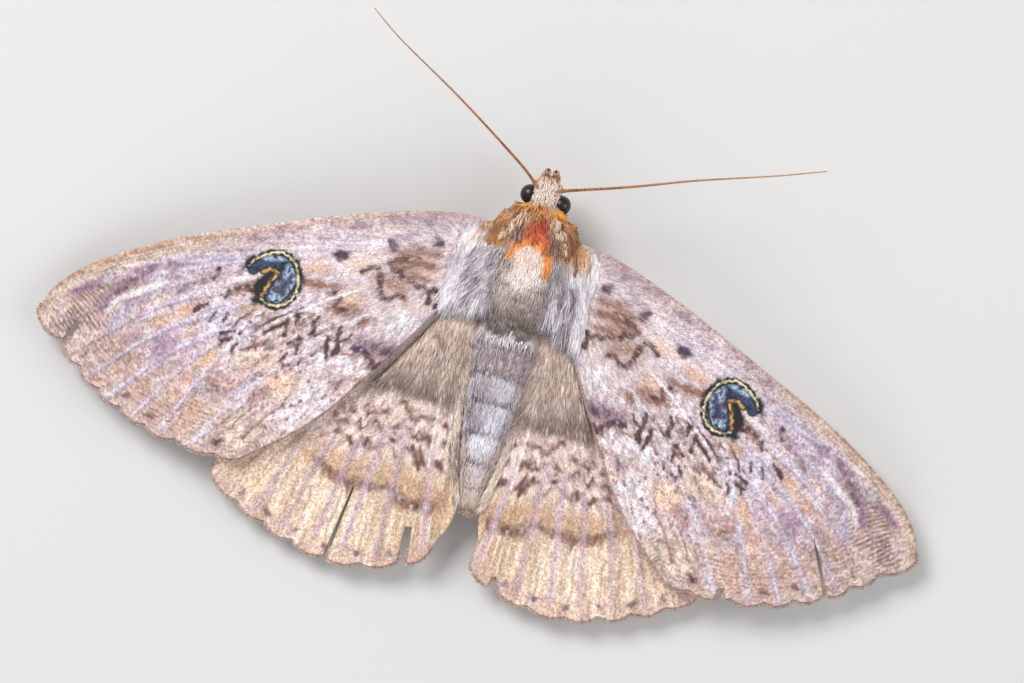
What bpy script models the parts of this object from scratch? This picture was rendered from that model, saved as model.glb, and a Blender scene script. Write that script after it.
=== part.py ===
"""Northern wattle moth, a still life-size model with its wings spread flat.

The moth faces -Y with its back up, and stands on six feet at Z = 0. Its left side is +X.
Sizes are in millimetres, and places on the moth are given as out (from the middle line),
ahead (towards the head) and up (above the floor).
"""

import math
import random

import bmesh
import bpy
from mathutils import Matrix, Vector
from mathutils.geometry import delaunay_2d_cdt, intersect_line_line_2d, intersect_point_line

MM = 0.001

# Driving dimensions
GAP = 0.3                     # clear space between touching pieces
ORIGIN_AHEAD = -6.1           # the middle of the whole moth, antennae to hind margin
BODY_SIDE = -0.4              # the body's middle line lies a little to the moth's right
WING_THICK = 0.5
VEIN_RISE = 0.18
VEIN_FLANK = 0.42
VEIN_STEP = 3.2
EDGE_STEP = 2.4
HINGE_UP = 7.0                # height of the wings where they leave the thorax
WING_FALL = 0.115             # fall of the wings for each millimetre outwards
WING_ARCH = 0.5
WING_LAP = 1.15               # the hindwing lies this far under the forewing
SCALLOP = 0.48

THORAX_MIDDLE = -0.3
THORAX_LENGTH = 10.6
THORAX_WIDTH = 7.2
THORAX_DEPTH = 6.6
THORAX_UP = 6.1
THORAX_FRONT = 4.4
THORAX_BACK = -4.9

HEAD_AHEAD = 6.0
HEAD_UP = 5.6
HEAD_SIZE = (3.0, 2.5, 3.1)   # width, length, height
EYE_OUT = 1.55
EYE_AHEAD = 5.75
EYE_RADIUS = 1.02

ABDOMEN_FRONT = -5.2
# Each tergite of the abdomen: where it ends, its half width and its sideways place
ABDOMEN_RINGS = (
    (-5.2, 2.35, 0.3),
    (-7.2, 2.8, 0.33),
    (-9.7, 2.62, 0.4),
    (-12.1, 2.35, 0.45),
    (-14.9, 1.98, 0.5),
    (-17.5, 1.5, 0.6),
    (-19.8, 1.0, 0.75),
    (-21.4, 0.62, 0.88),
)
ABDOMEN_DEPTH = 0.92          # height as a share of the width
ABDOMEN_UP = 5.15
ABDOMEN_FALL = 0.085

# The right wings as they lie; the left ones are the same wings swung and scaled
FORE_HINGE = Vector((4.0, 0.0))
HIND_HINGE = Vector((4.0, -5.0))
SIDES = {
    "left": {"sign": 1, "fore_swing": 1.8, "fore_scale": 0.988, "fore_bow": 0.45, "hind_swing": -2.2},
    "right": {"sign": -1, "fore_swing": 0.0, "fore_scale": 1.0, "fore_bow": 0.0, "hind_swing": 0.0},
}

FORE_COSTA = ((4.6, 2.7), (8, 2.1), (14, 0.0), (22, -3.5), (30, -7.2),
              (36, -10.9), (39, -13.9), (39.9, -16.4))
FORE_VALLEYS = ((39.9, -16.4), (37.0, -18.2), (34.8, -19.9), (32.7, -21.3), (30.3, -22.3),
                (27.9, -23.2), (24.9, -23.6), (21.2, -23.8), (18.5, -23.2))
FORE_INNER = ((18.5, -23.2), (15.5, -20.5), (12.7, -17.3), (10.0, -13.0), (7.0, -8.0), (5.3, -4.6))
HIND_COSTA = ((7.4, -3.6), (12.0, -9.0), (17.8, -15.6), (21.6, -20.6), (22.4, -24.0))
HIND_VALLEYS = ((22.4, -24.0), (19.6, -26.0), (17.0, -27.2), (14.2, -28.2), (11.4, -29.0),
                (8.1, -28.9), (5.0, -28.1), (2.4, -26.8))

# Veins as start, middle and end; each ends in the middle of a scallop or on the costa
FORE_VEINS = {
    "subcosta": ((5.0, 1.6), (15.0, -2.1), (26.0, -5.3)),
    "radius": ((4.6, 0.6), (15.0, -3.3), (31.0, -7.7)),
    "radius 2": ((18.5, -4.5), (27.0, -7.6), (34.6, -9.9)),
    "radius 3": ((22.5, -6.2), (30.0, -9.0), (37.2, -11.9)),
    "radius 4": ((22.9, -6.7), (31.0, -10.4), (39.3, -14.6)),
    "radius 5": ((22.9, -7.3), (30.5, -11.7), (38.4, -17.2)),
    "media 1": ((22.6, -8.3), (29.8, -13.1), (35.9, -19.0)),
    "media 2": ((21.9, -10.2), (28.6, -14.8), (33.8, -20.5)),
    "media 3": ((20.9, -11.5), (27.0, -16.0), (31.6, -21.8)),
    "cubitus": ((4.6, -1.2), (11.5, -4.4), (20.9, -11.5)),
    "cubitus 1": ((18.9, -9.8), (25.0, -16.0), (29.1, -22.8)),
    "cubitus 2": ((16.2, -7.9), (22.6, -14.7), (26.4, -23.3)),
    "anal": ((4.8, -2.6), (14.0, -10.9), (23.1, -23.3)),
    "cross": ((22.9, -6.9), (21.6, -9.2), (20.9, -11.5)),
}
HIND_VEINS = {
    "subcosta": ((5.2, -4.0), (13.5, -12.0), (22.0, -23.7)),
    "radius": ((4.8, -4.4), (12.5, -13.2), (20.8, -25.0)),
    "media 1": ((11.2, -12.0), (14.8, -18.6), (18.2, -26.8)),
    "media 2": ((10.2, -13.2), (13.3, -20.0), (15.6, -28.0)),
    "media 3": ((8.9, -13.8), (11.2, -21.0), (12.8, -28.9)),
    "cubitus": ((4.6, -5.0), (6.8, -9.2), (8.9, -13.8)),
    "cubitus 1": ((8.2, -12.4), (9.3, -20.5), (9.8, -29.1)),
    "cubitus 2": ((6.9, -9.6), (7.2, -19.0), (6.7, -28.5)),
    "anal 1": ((4.4, -6.0), (4.8, -17.0), (3.9, -27.2)),
    "anal 2": ((4.1, -7.0), (3.5, -15.5), (2.5, -24.5)),
}
# Tears and bites as mouth on the margin, inner end, width there and half width inside
TEARS = {
    "forewing_left": (((37.4, -17.4), (36.2, -15.0), 0.9, 0.2),),
    "forewing_right": (((33.0, -21.2), (30.6, -16.7), 0.4, 0.09), ((24.0, -23.9), (23.9, -23.0), 1.1, 0.25)),
    "hindwing_left": (((3.6, -28.3), (3.7, -24.9), 0.9, 0.36), ((10.4, -29.6), (9.3, -22.8), 0.4, 0.09)),
    "hindwing_right": (((4.7, -28.4), (4.6, -27.2), 0.9, 0.2),),
}

# Each leg as root, knee, ankle, heel and toe, as out, ahead and up; soles at the floor
LEGS = {
    "foreleg": ((1.2, 2.3, 2.45), (4.1, 1.3, 2.9), (3.7, 1.9, 0.8), (3.2, 2.5, 0.16), (2.0, 4.0, 0.16)),
    "midleg": ((1.5, 0.4, 2.35), (4.8, -0.8, 3.0), (7.2, -2.2, 0.7), (8.0, -2.7, 0.16), (10.2, -3.9, 0.16)),
    "hindleg": ((1.5, -2.2, 2.4), (4.5, -6.4, 2.7), (6.6, -12.4, 0.7), (7.0, -13.2, 0.16),
                (8.2, -16.6, 0.16)),
}
PALP_ROUTE = ((0.72, 6.4, 3.55), (0.68, 7.0, 3.6), (0.6, 7.5, 4.1), (0.55, 7.7, 4.8),
              (0.45, 7.85, 5.4), (0.38, 8.0, 5.9))
PALP_RADII = (0.3, 0.36, 0.38, 0.36, 0.3, 0.12)
# Each antenna as side, ahead and up
ANTENNAE = {
    "antenna_left": ((0.72, 6.62, 7.02), (2.7, 8.1, 7.6), (8.75, 11.9, 8.6), (15.0, 15.5, 8.4),
                     (18.0, 17.6, 7.9)),
    "antenna_right": ((-1.45, 6.6, 7.02), (-7.0, 8.4, 7.7), (-12.5, 10.4, 8.6), (-18.8, 12.5, 8.4),
                      (-23.1, 14.1, 7.9)),
}
LEG_RADII = ((0.4, 0.42, 0.4), (0.34, 0.4, 0.36), (0.3, 0.28, 0.28), (0.28, 0.28, 0.26))

COLOURS = {
    "wing_scales": ((0.62, 0.48, 0.46, 1.0), 0.75),
    "body_fur": ((0.42, 0.33, 0.28, 1.0), 0.9),
    "abdomen_scales": ((0.52, 0.47, 0.45, 1.0), 0.7),
    "eye": ((0.02, 0.012, 0.014, 1.0), 0.12),
    "antenna": ((0.36, 0.19, 0.09, 1.0), 0.55),
    "leg": ((0.40, 0.30, 0.24, 1.0), 0.85),
}


def model_point(side_place, ahead, up):
    """A place on the moth as a point of the model, in millimetres."""
    return Vector((side_place, ORIGIN_AHEAD - ahead, up))


def body_side(ahead):
    """How far the body's middle line lies from the middle of the wings, to the moth's left."""
    if ahead > ABDOMEN_FRONT:
        return BODY_SIDE
    return -blend_rings(ahead, 2)


def blend_rings(ahead, column):
    """A value of the abdomen's rings at a place along it."""
    for near, far in zip(ABDOMEN_RINGS, ABDOMEN_RINGS[1:]):
        if ahead >= far[0]:
            share = min(1.0, (near[0] - ahead) / (near[0] - far[0]))
            return near[column] + (far[column] - near[column]) * share
    return ABDOMEN_RINGS[-1][column]


def thorax_swell(ahead):
    """The thorax's outline, 1 at its widest and falling to its two ends."""
    along = abs(ahead - THORAX_MIDDLE) / (THORAX_LENGTH / 2)
    return (1.0 - min(along, 0.98) ** 2.6) ** 0.42


def thorax_reach(ahead, up):
    """Half the thorax's width at a height."""
    swell = thorax_swell(ahead)
    rise = (up - THORAX_UP) / (THORAX_DEPTH / 2 * swell)
    return THORAX_WIDTH / 2 * swell * math.sqrt(max(0.0, 1.0 - rise * rise))


def wing_up(out, ahead):
    """The middle height of the forewing's membrane."""
    run = (Vector((out, ahead)) - Vector((3.8, 0.0))).length
    return HINGE_UP - WING_FALL * run + WING_ARCH * math.sin(math.pi * min(run, 40.0) / 40.0)


def hind_up(out, ahead):
    """The hindwing's membrane, under the forewing, with soft pleats along the abdomen."""
    run = (Vector((out, ahead)) - HIND_HINGE).length
    fold = math.exp(-max(0.0, out - 1.5) / 2.6) * min(1.0, run / 12.0)
    pleat = 0.28 * fold * math.cos(2.0 * math.pi * out / 2.1)
    return wing_up(out, ahead) - WING_LAP - 0.012 * run + pleat


def curve(points, step):
    """A smooth curve through the points, with a point about every step."""
    points = [Vector(p) for p in points]
    ends = [points[0] * 2 - points[1]] + points + [points[-1] * 2 - points[-2]]
    line = []
    for a, b, c, d in zip(ends, ends[1:], ends[2:], ends[3:]):
        count = max(1, round((c - b).length / step))
        for k in range(count):
            t = k / count
            line.append(0.5 * (b * 2 + (c - a) * t + (a * 2 - b * 5 + c * 4 - d) * t * t
                               + (b * 3 - a - c * 3 + d) * t ** 3))
    return line + [points[-1]]


def scallops(valleys, rise):
    """The outer margin, a shallow bulge from each valley to the next."""
    margin = []
    for a, b in zip(valleys, valleys[1:]):
        a, b = Vector(a), Vector(b)
        across = b - a
        outward = Vector((-across.y, across.x)).normalized()
        for t in (0.0, 0.22, 0.5, 0.78):
            margin.append(a + across * t + outward * rise * 4.0 * t * (1.0 - t))
    return margin + [Vector(valleys[-1])]


def swing(point, hinge, degrees, scale=1.0):
    """A point of the right wing, turned forwards about the hinge."""
    angle = math.radians(degrees)
    away = (Vector(point) - hinge) * scale
    return hinge + Vector((away.x * math.cos(angle) - away.y * math.sin(angle),
                           away.x * math.sin(angle) + away.y * math.cos(angle)))


def bite(outline, mouth, inner, width, half_end):
    """Cut a tear into an outline: two lips at the margin and a blunt inner end."""
    nearest = min(range(len(outline)), key=lambda k: (outline[k] - Vector(mouth)).length)
    mouth, inner = outline[nearest], Vector(inner)
    along = (outline[(nearest + 1) % len(outline)] - outline[nearest - 1]).normalized()
    end = Vector((-(mouth - inner).y, (mouth - inner).x)).normalized() * half_end
    if end.dot(along) < 0:
        end = -end
    reach = width * 0.62
    before = [p for p in outline[:nearest] if (p - mouth).length > reach]
    after = [p for p in outline[nearest:] if (p - mouth).length > reach]
    lips = [mouth - along * width / 2, inner - end, inner + end, mouth + along * width / 2]
    return before + lips + after


def inside(point, outline):
    """Whether a point lies in the outline."""
    crossings = 0
    for a, b in zip(outline, outline[1:] + outline[:1]):
        if (a.y > point.y) != (b.y > point.y):
            if point.x < a.x + (b.x - a.x) * (point.y - a.y) / (b.y - a.y):
                crossings += 1
    return crossings % 2 == 1


def line_distance(point, a, b):
    """How far a point is from the straight line between two others."""
    near, share = intersect_point_line(point, a, b)
    near = Vector(near).to_2d()
    if share <= 0.0:
        near = a
    elif share >= 1.0:
        near = b
    return (point - near).length


def path_distance(point, path):
    """How far a point is from a path."""
    return min(line_distance(point, a, b) for a, b in zip(path, path[1:]))


def crosses(a, b, outline):
    """Whether the straight line from a to b meets the outline."""
    pairs = zip(outline, outline[1:] + outline[:1])
    return any(intersect_line_line_2d(a, b, c, d) for c, d in pairs)


def wing_sheet(outline, veins):
    """The wing's flat triangles: its outline, its veins with their flanks, and a few points between."""
    points = list(outline)
    edges = [(k, (k + 1) % len(outline)) for k in range(len(outline))]
    ring = outline + outline[:1]
    for vein in veins:
        for offset in (0.0, -VEIN_FLANK, VEIN_FLANK):
            last = None
            for k, place in enumerate(vein):
                ahead = vein[min(k + 1, len(vein) - 1)] - vein[max(k - 1, 0)]
                spot = place + Vector((-ahead.y, ahead.x)).normalized() * offset
                crowded = any((spot - p).length < VEIN_FLANK * 0.7 for p in points[len(outline):])
                if not inside(spot, outline) or path_distance(spot, ring) < 0.3 or crowded:
                    last = None
                    continue
                points.append(spot)
                if last is not None and not crosses(points[last], spot, outline):
                    edges.append((last, len(points) - 1))
                last = len(points) - 1
    low = [min(p[axis] for p in outline) for axis in (0, 1)]
    high = [max(p[axis] for p in outline) for axis in (0, 1)]
    spacing = 3.4
    for row in range(int((high[1] - low[1]) / spacing) + 1):
        for column in range(int((high[0] - low[0]) / spacing) + 1):
            spot = Vector((low[0] + (column + 0.5 * (row % 2)) * spacing, low[1] + (row + 0.5) * spacing))
            if not inside(spot, outline) or path_distance(spot, ring) < 0.9:
                continue
            if min((spot - p).length for p in points) > 1.1:
                points.append(spot)
    result = delaunay_2d_cdt(points, edges, [], 1, 1e-5)
    return result[0], result[2]


def new_object(name, mesh_maker, slot):
    """An object in metres from a bmesh in millimetres, with its material."""
    mesh = bpy.data.meshes.new(name)
    mesh_maker.to_mesh(mesh)
    mesh_maker.free()
    mesh.transform(Matrix.Scale(MM, 4))
    thing = bpy.data.objects.new(name, mesh)
    bpy.context.collection.objects.link(thing)
    mesh.materials.append(material(slot))
    mesh.shade_smooth()
    mesh.set_sharp_from_angle(angle=math.radians(40))
    return thing


def material(slot):
    """The plain finish of a slot."""
    known = bpy.data.materials.get(slot)
    if known:
        return known
    colour, roughness = COLOURS[slot]
    made = bpy.data.materials.new(slot)
    made.use_nodes = True
    shader = made.node_tree.nodes["Principled BSDF"]
    shader.inputs["Base Color"].default_value = colour
    shader.inputs["Roughness"].default_value = roughness
    shader.inputs["Metallic"].default_value = 0.0
    made.diffuse_color = colour
    return made


def make_wing(name, sign, outline, veins, height):
    """One wing: a cambered sheet with its main veins raised in its upper face."""
    spots, faces = wing_sheet(outline, veins)
    bm = bmesh.new()
    corners = [bm.verts.new((p.x, p.y, 0.0)) for p in spots]
    for face in faces:
        bm.faces.new([corners[k] for k in face])
    upper = bmesh.ops.extrude_face_region(bm, geom=bm.faces[:])
    top = {item for item in upper["geom"] if isinstance(item, bmesh.types.BMVert)}
    ring = outline + outline[:1]
    for corner in bm.verts:
        spot = corner.co.to_2d()
        up = height(spot.x, spot.y)
        if corner in top:
            off_vein = min(path_distance(spot, vein) for vein in veins)
            fade = min(1.0, path_distance(spot, ring) / 0.8)
            rise = VEIN_RISE * fade * max(0.0, 1.0 - off_vein / VEIN_FLANK)
            up += WING_THICK / 2 + rise
        else:
            up -= WING_THICK / 2
        corner.co = model_point(sign * spot.x, spot.y, up)
    bmesh.ops.recalc_face_normals(bm, faces=bm.faces[:])
    return new_object(name, bm, "wing_scales")


def make_forewing(name, side):
    """A forewing, from the costa round the scalloped margin to the thorax's flank."""
    sign = side["sign"]

    def place(point):
        return swing(point, FORE_HINGE, side["fore_swing"], side["fore_scale"])

    costa = curve(FORE_COSTA, EDGE_STEP)
    for k, spot in enumerate(costa):
        spot.y += side["fore_bow"] * math.sin(math.pi * k / (len(costa) - 1))
    margin = costa[:-1] + scallops(FORE_VALLEYS, SCALLOP)[:-1] + curve(FORE_INNER, EDGE_STEP)
    outline = [place(p) for p in margin]
    middle = body_side(0.0) * sign
    for ahead in (-2.6, -1.0, 0.8, 2.5):
        outline.append(Vector((middle + thorax_reach(ahead, HINGE_UP) + GAP + 0.12, ahead)))
    for tear in TEARS[name]:
        outline = bite(outline, *tear)
    veins = [[place(p) for p in curve(points, VEIN_STEP)] for points in FORE_VEINS.values()]
    return make_wing(name, sign, outline, veins, wing_up)


def make_hindwing(name, side):
    """A hindwing, tucked under the forewing, its inner edge folded along the abdomen."""
    sign = side["sign"]

    def place(point):
        return swing(point, HIND_HINGE, side["hind_swing"])

    margin = curve(HIND_COSTA, EDGE_STEP)[:-1] + scallops(HIND_VALLEYS, SCALLOP)
    outline = [place(p) for p in margin]
    edge = []
    for ahead in (-24.4, -22.4, -20.6, -18.6, -16.2, -13.6, -11.0, -8.4, -6.0):
        clear = blend_rings(ahead, 1) + GAP + 0.2
        edge.append(Vector((body_side(ahead) * sign + clear, ahead)))
    edge[0].x += 0.5
    up = HINGE_UP - WING_LAP
    middle = body_side(0.0) * sign
    root = [Vector((middle + thorax_reach(ahead, up) + GAP, ahead)) for ahead in (-4.6, -3.8, -2.9)]
    outline += edge + root
    for tear in TEARS[name]:
        outline = bite(outline, *tear)
    veins = [[place(p) for p in curve(points, VEIN_STEP)] for points in HIND_VEINS.values()]
    return make_wing(name, sign, outline, veins, hind_up)


def loft(bm, frames, sides):
    """Sweep a unit circle through a list of frames, closed at both ends."""
    start = bmesh.ops.create_circle(bm, cap_ends=True, segments=sides, radius=1.0, matrix=frames[0])
    ring = start["verts"]
    members = set(ring)
    edges = [e for e in bm.edges if e.verts[0] in members and e.verts[1] in members]
    for near, far in zip(frames, frames[1:]):
        grown = bmesh.ops.extrude_edge_only(bm, edges=edges)["geom"]
        ring = [item for item in grown if isinstance(item, bmesh.types.BMVert)]
        members = set(ring)
        edges = [e for e in grown if isinstance(e, bmesh.types.BMEdge)
                 and e.verts[0] in members and e.verts[1] in members]
        bmesh.ops.transform(bm, matrix=far @ near.inverted(), verts=ring)
    bmesh.ops.contextual_create(bm, geom=edges)
    bmesh.ops.recalc_face_normals(bm, faces=bm.faces[:])


def frame_at(place, along, up, half_width, half_thick):
    """A ring's frame: x across its width, y through its thickness, z along the path."""
    along = along.normalized()
    across = up.cross(along)
    if across.length < 1e-4:
        across = Vector((1.0, 0.0, 0.0)).cross(along)
    across.normalize()
    through = along.cross(across)
    turn = Matrix((across * half_width, through * half_thick, along)).transposed().to_4x4()
    turn.translation = place
    return turn


def path_frames(places, widths, thicks, up=Vector((0.0, 0.0, 1.0))):
    """Frames along a path, each square to the path where it stands."""
    frames = []
    for k, place in enumerate(places):
        along = places[min(k + 1, len(places) - 1)] - places[max(k - 1, 0)]
        frames.append(frame_at(place, along, up, widths[k], thicks[k]))
    return frames


def make_tube(name, places, radii, sides, slot, floor=False):
    """A round tapered piece along a path, pressed flat where it stands on the floor."""
    bm = bmesh.new()
    loft(bm, path_frames(places, radii, radii), sides)
    if floor:
        for corner in bm.verts:
            corner.co.z = max(0.0, corner.co.z)
    return new_object(name, bm, slot)


def make_lock(places, half_width, half_thick, up):
    """A flat tapered lock of hair, widest a third of the way out."""
    bm = bmesh.new()
    count = len(places) - 1
    taper = [0.75 + 1.1 * (k / count) - 1.75 * (k / count) ** 2 for k in range(count + 1)]
    widths = [half_width * max(0.1, t) for t in taper]
    thicks = [half_thick * max(0.35, 1.0 - 0.65 * k / count) for k in range(count + 1)]
    loft(bm, path_frames(places, widths, thicks, up), 4)
    lock = new_object("lock", bm, "body_fur")
    return lock


def fuse(body, pieces):
    """Join pieces to the body they grow from by one union, and keep the largest closed surface."""
    group = bpy.data.collections.new("pieces of " + body.name)
    bpy.context.scene.collection.children.link(group)
    for piece in pieces:
        bpy.context.collection.objects.unlink(piece)
        group.objects.link(piece)
    union = body.modifiers.new("union", "BOOLEAN")
    union.operation = "UNION"
    union.solver = "EXACT"
    union.operand_type = "COLLECTION"
    union.collection = group
    bpy.context.view_layer.update()
    seen = body.evaluated_get(bpy.context.evaluated_depsgraph_get())
    joined = bpy.data.meshes.new_from_object(seen)
    body.modifiers.clear()
    body.data = joined
    for piece in list(group.objects):
        bpy.data.objects.remove(piece)
    bpy.data.collections.remove(group)
    keep_largest(body)


def keep_largest(body):
    """Drop all but the largest closed surface of a mesh."""
    bm = bmesh.new()
    bm.from_mesh(body.data)
    unseen = set(bm.verts)
    islands = []
    while unseen:
        island, front = set(), [next(iter(unseen))]
        while front:
            corner = front.pop()
            if corner in island:
                continue
            island.add(corner)
            front.extend(e.other_vert(corner) for e in corner.link_edges)
        unseen -= island
        islands.append(island)
    largest = max(islands, key=len)
    loose = [corner for island in islands if island is not largest for corner in island]
    bmesh.ops.delete(bm, geom=loose, context="VERTS")
    bmesh.ops.dissolve_degenerate(bm, dist=2e-7, edges=bm.edges[:])
    bmesh.ops.triangulate(bm, faces=bm.faces[:])
    bm.to_mesh(body.data)
    bm.free()


def thorax_point(ahead, turn, lift=0.0):
    """A point on the thorax, turned round it from the top towards the moth's left."""
    swell = thorax_swell(ahead)
    across = (THORAX_WIDTH / 2 * swell + lift) * math.sin(turn)
    rise = (THORAX_DEPTH / 2 * swell + lift) * math.cos(turn)
    return model_point(BODY_SIDE + across, ahead, THORAX_UP + rise)


def over_parts(place, half_width, half_thick):
    """Lift a point so that a lock there clears the wing and the abdomen below it."""
    out = abs(place.x)
    ahead = ORIGIN_AHEAD - place.y
    clear = GAP + half_thick + 0.22
    if out + half_width > thorax_reach(ahead, HINGE_UP) - 0.5:
        tilt = 0.55 * half_width
        top = wing_up(out, ahead) + WING_THICK / 2 + VEIN_RISE
        place.z = max(place.z, top + clear + tilt)
    elif ahead < ABDOMEN_FRONT + 0.8:
        middle = body_side(ahead)
        half = blend_rings(ahead, 1) * 1.05 + 0.1
        share = max(0.0, 1.0 - ((place.x - middle) / half) ** 2)
        top = abdomen_up(ahead) + half * ABDOMEN_DEPTH * math.sqrt(share)
        place.z = max(place.z, top + clear)
    return place


def abdomen_up(ahead):
    """The height of the abdomen's middle line."""
    return ABDOMEN_UP + ABDOMEN_FALL * (ahead - ABDOMEN_FRONT)


def hair_lock(draw, ahead, turn, heading, length, half_width, rise):
    """One lock rooted in the thorax, lying along its heading and bent down at its tip."""
    half_thick = 0.24
    side_lean = math.sin(heading + draw.uniform(-0.12, 0.12))
    back_lean = math.cos(heading)
    length *= draw.uniform(0.88, 1.12)
    root = thorax_point(ahead, turn, -0.55)
    outward = (thorax_point(ahead, turn, 1.0) - root).normalized()
    flow = Vector((side_lean, back_lean, 0.0))
    flow = (flow - outward * flow.dot(outward)).normalized()
    places = []
    for k in range(5):
        t = k / 4
        lift = (0.55 + rise) * math.sin(math.pi * min(t * 1.1, 1.0) / 2)
        place = root + flow * (length * t) + outward * lift
        place.z -= 0.75 * length * 0.22 * t * t
        places.append(over_parts(place, half_width, half_thick) if k > 0 else place)
    return make_lock(places, half_width, half_thick, outward)


def make_thorax():
    """The thorax with its collar, crest, shoulder tufts and rear fringe of long hair."""
    bm = bmesh.new()
    count = 12
    frames = []
    for k in range(count + 1):
        ahead = THORAX_FRONT + (THORAX_BACK - THORAX_FRONT) * k / count
        swell = thorax_swell(ahead)
        place = model_point(BODY_SIDE, ahead, THORAX_UP)
        frames.append(frame_at(place, Vector((0, 1, 0)), Vector((0, 0, 1)),
                               THORAX_WIDTH / 2 * swell, THORAX_DEPTH / 2 * swell))
    loft(bm, frames, 20)
    thorax = new_object("thorax", bm, "body_fur")
    draw = random.Random(5)
    locks = []
    for side in (1, -1):
        for k in range(7):
            ahead = 2.9 - 0.85 * k
            locks.append(hair_lock(draw, ahead, side * 1.06, side * (0.95 - 0.09 * k), 4.5, 0.7, 0.25))
        for k in range(5):
            ahead = 2.4 - 1.05 * k
            locks.append(hair_lock(draw, ahead, side * 0.66, side * (0.5 - 0.05 * k), 4.0, 0.66, 0.35))
        for k in range(3):
            ahead = 3.5 - 0.3 * k
            turn, heading = side * (0.35 + 0.42 * k), side * (0.5 + 0.25 * k)
            locks.append(hair_lock(draw, ahead, turn, heading, 1.9, 0.6, 0.3))
    for k in range(9):
        share = (k - 4) / 4
        locks.append(hair_lock(draw, -2.0 - 0.5 * (k % 2), 0.98 * share, 0.28 * share, 3.7, 0.6, 0.3))
    for k in range(5):
        share = (k - 2) / 2
        locks.append(hair_lock(draw, 1.6 - 0.6 * (k % 2), 0.33 * share, 0.1 * share, 2.8, 0.6, 0.45))
    fuse(thorax, locks)
    return thorax


def make_abdomen():
    """The abdomen, each tergite swelling to its rear edge, with a tuft at its tip."""
    bm = bmesh.new()
    frames = []
    for near, far in zip(ABDOMEN_RINGS, ABDOMEN_RINGS[1:]):
        for share, swell in ((0.0, 0.955), (0.3, 1.0), (0.92, 1.02)):
            ahead = near[0] + (far[0] - near[0]) * share
            half = (near[1] + (far[1] - near[1]) * share) * swell
            place = model_point(body_side(ahead), ahead, abdomen_up(ahead))
            frames.append(frame_at(place, Vector((0, 1, 0)), Vector((0, 0, 1)), half, half * ABDOMEN_DEPTH))
    loft(bm, frames, 20)
    abdomen = new_object("abdomen", bm, "abdomen_scales")
    locks = []
    for k in range(6):
        turn = 2.0 * math.pi * k / 6
        ahead = -20.4
        half = 0.5
        outward = Vector((math.cos(turn), 0.0, math.sin(turn)))
        root = model_point(body_side(ahead), ahead, abdomen_up(ahead)) + outward * half
        places = [root + Vector((0, 2.2 * t, 0)) + outward * 0.12 * math.sin(math.pi * t) - outward * 0.3 * t
                  for t in (0.0, 0.3, 0.65, 1.0)]
        locks.append(make_lock(places, 0.36, 0.22, outward))
    fuse(abdomen, locks)
    return abdomen


def make_head():
    """The head, with a socket for each eye and a short tuft over its front."""
    bm = bmesh.new()
    bmesh.ops.create_uvsphere(bm, u_segments=24, v_segments=14, radius=1.0)
    half = [size / 2 for size in HEAD_SIZE]
    place = model_point(BODY_SIDE + 0.05, HEAD_AHEAD, HEAD_UP)
    bmesh.ops.scale(bm, vec=half, verts=bm.verts[:])
    bmesh.ops.translate(bm, vec=place, verts=bm.verts[:])
    head = new_object("head", bm, "body_fur")
    tufts = []
    for k in range(3):
        share = k - 1
        root = place + Vector((0.22 * share, 0.3 + 0.2 * abs(share), 1.0))
        places = [root + Vector((0.1 * share * t, -1.75 * t, 0.45 * math.sin(2.4 * t)))
                  for t in (0.0, 0.35, 0.7, 1.0)]
        tufts.append(make_lock(places, 0.3, 0.2, Vector((0.3 * share, -0.2, 1.0))))
    fuse(head, tufts)
    for name, sign in (("left", 1), ("right", -1)):
        bm = bmesh.new()
        bmesh.ops.create_uvsphere(bm, u_segments=20, v_segments=12, radius=EYE_RADIUS + GAP)
        bmesh.ops.translate(bm, vec=eye_place(sign), verts=bm.verts[:])
        socket = new_object("socket_" + name, bm, "body_fur")
        cut = head.modifiers.new("socket", "BOOLEAN")
        cut.operation = "DIFFERENCE"
        cut.object = socket
        bpy.context.view_layer.update()
        seen = head.evaluated_get(bpy.context.evaluated_depsgraph_get())
        carved = bpy.data.meshes.new_from_object(seen)
        head.modifiers.clear()
        head.data = carved
        bpy.data.objects.remove(socket)
    keep_largest(head)
    return head


def eye_place(sign):
    """The middle of an eye."""
    return model_point(BODY_SIDE + 0.05 + sign * EYE_OUT, EYE_AHEAD, HEAD_UP + 0.1)


def make_eye(name, sign):
    """A compound eye, a round dome set in its socket."""
    bm = bmesh.new()
    bmesh.ops.create_uvsphere(bm, u_segments=20, v_segments=12, radius=EYE_RADIUS)
    bmesh.ops.translate(bm, vec=eye_place(sign), verts=bm.verts[:])
    return new_object(name, bm, "eye")


def make_antenna(name, route, tip):
    """A thread-like antenna, from its swollen first joint to its fine tip."""
    places = [Vector(p) for p in curve(route, 1.6)]
    count = len(places) - 1
    radii = [max(0.25 - (0.25 - tip) * max(0.0, k / count - 0.55) / 0.45, tip) for k in range(count + 1)]
    radii[0] = 0.27
    radii[1] = 0.31
    return make_tube(name, places, radii, 8, "antenna")


def make_palp(name, sign):
    """A palp, curved up in front of the face."""
    middle = BODY_SIDE + 0.05
    places = [model_point(middle + sign * out, ahead, up) for out, ahead, up in PALP_ROUTE]
    return make_tube(name, places, PALP_RADII, 8, "body_fur")


def make_proboscis():
    """The coiled tongue under the face, one open turn."""
    middle = model_point(BODY_SIDE + 0.05, 5.45, 2.95)
    places = []
    for k in range(15):
        turn = math.radians(95 + 19 * k)
        radius = 0.6 - 0.008 * k
        places.append(middle + Vector((0, -math.cos(turn) * radius, math.sin(turn) * radius)))
    return make_tube("proboscis", places, [0.22] * 13 + [0.2, 0.14], 8, "antenna")


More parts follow.
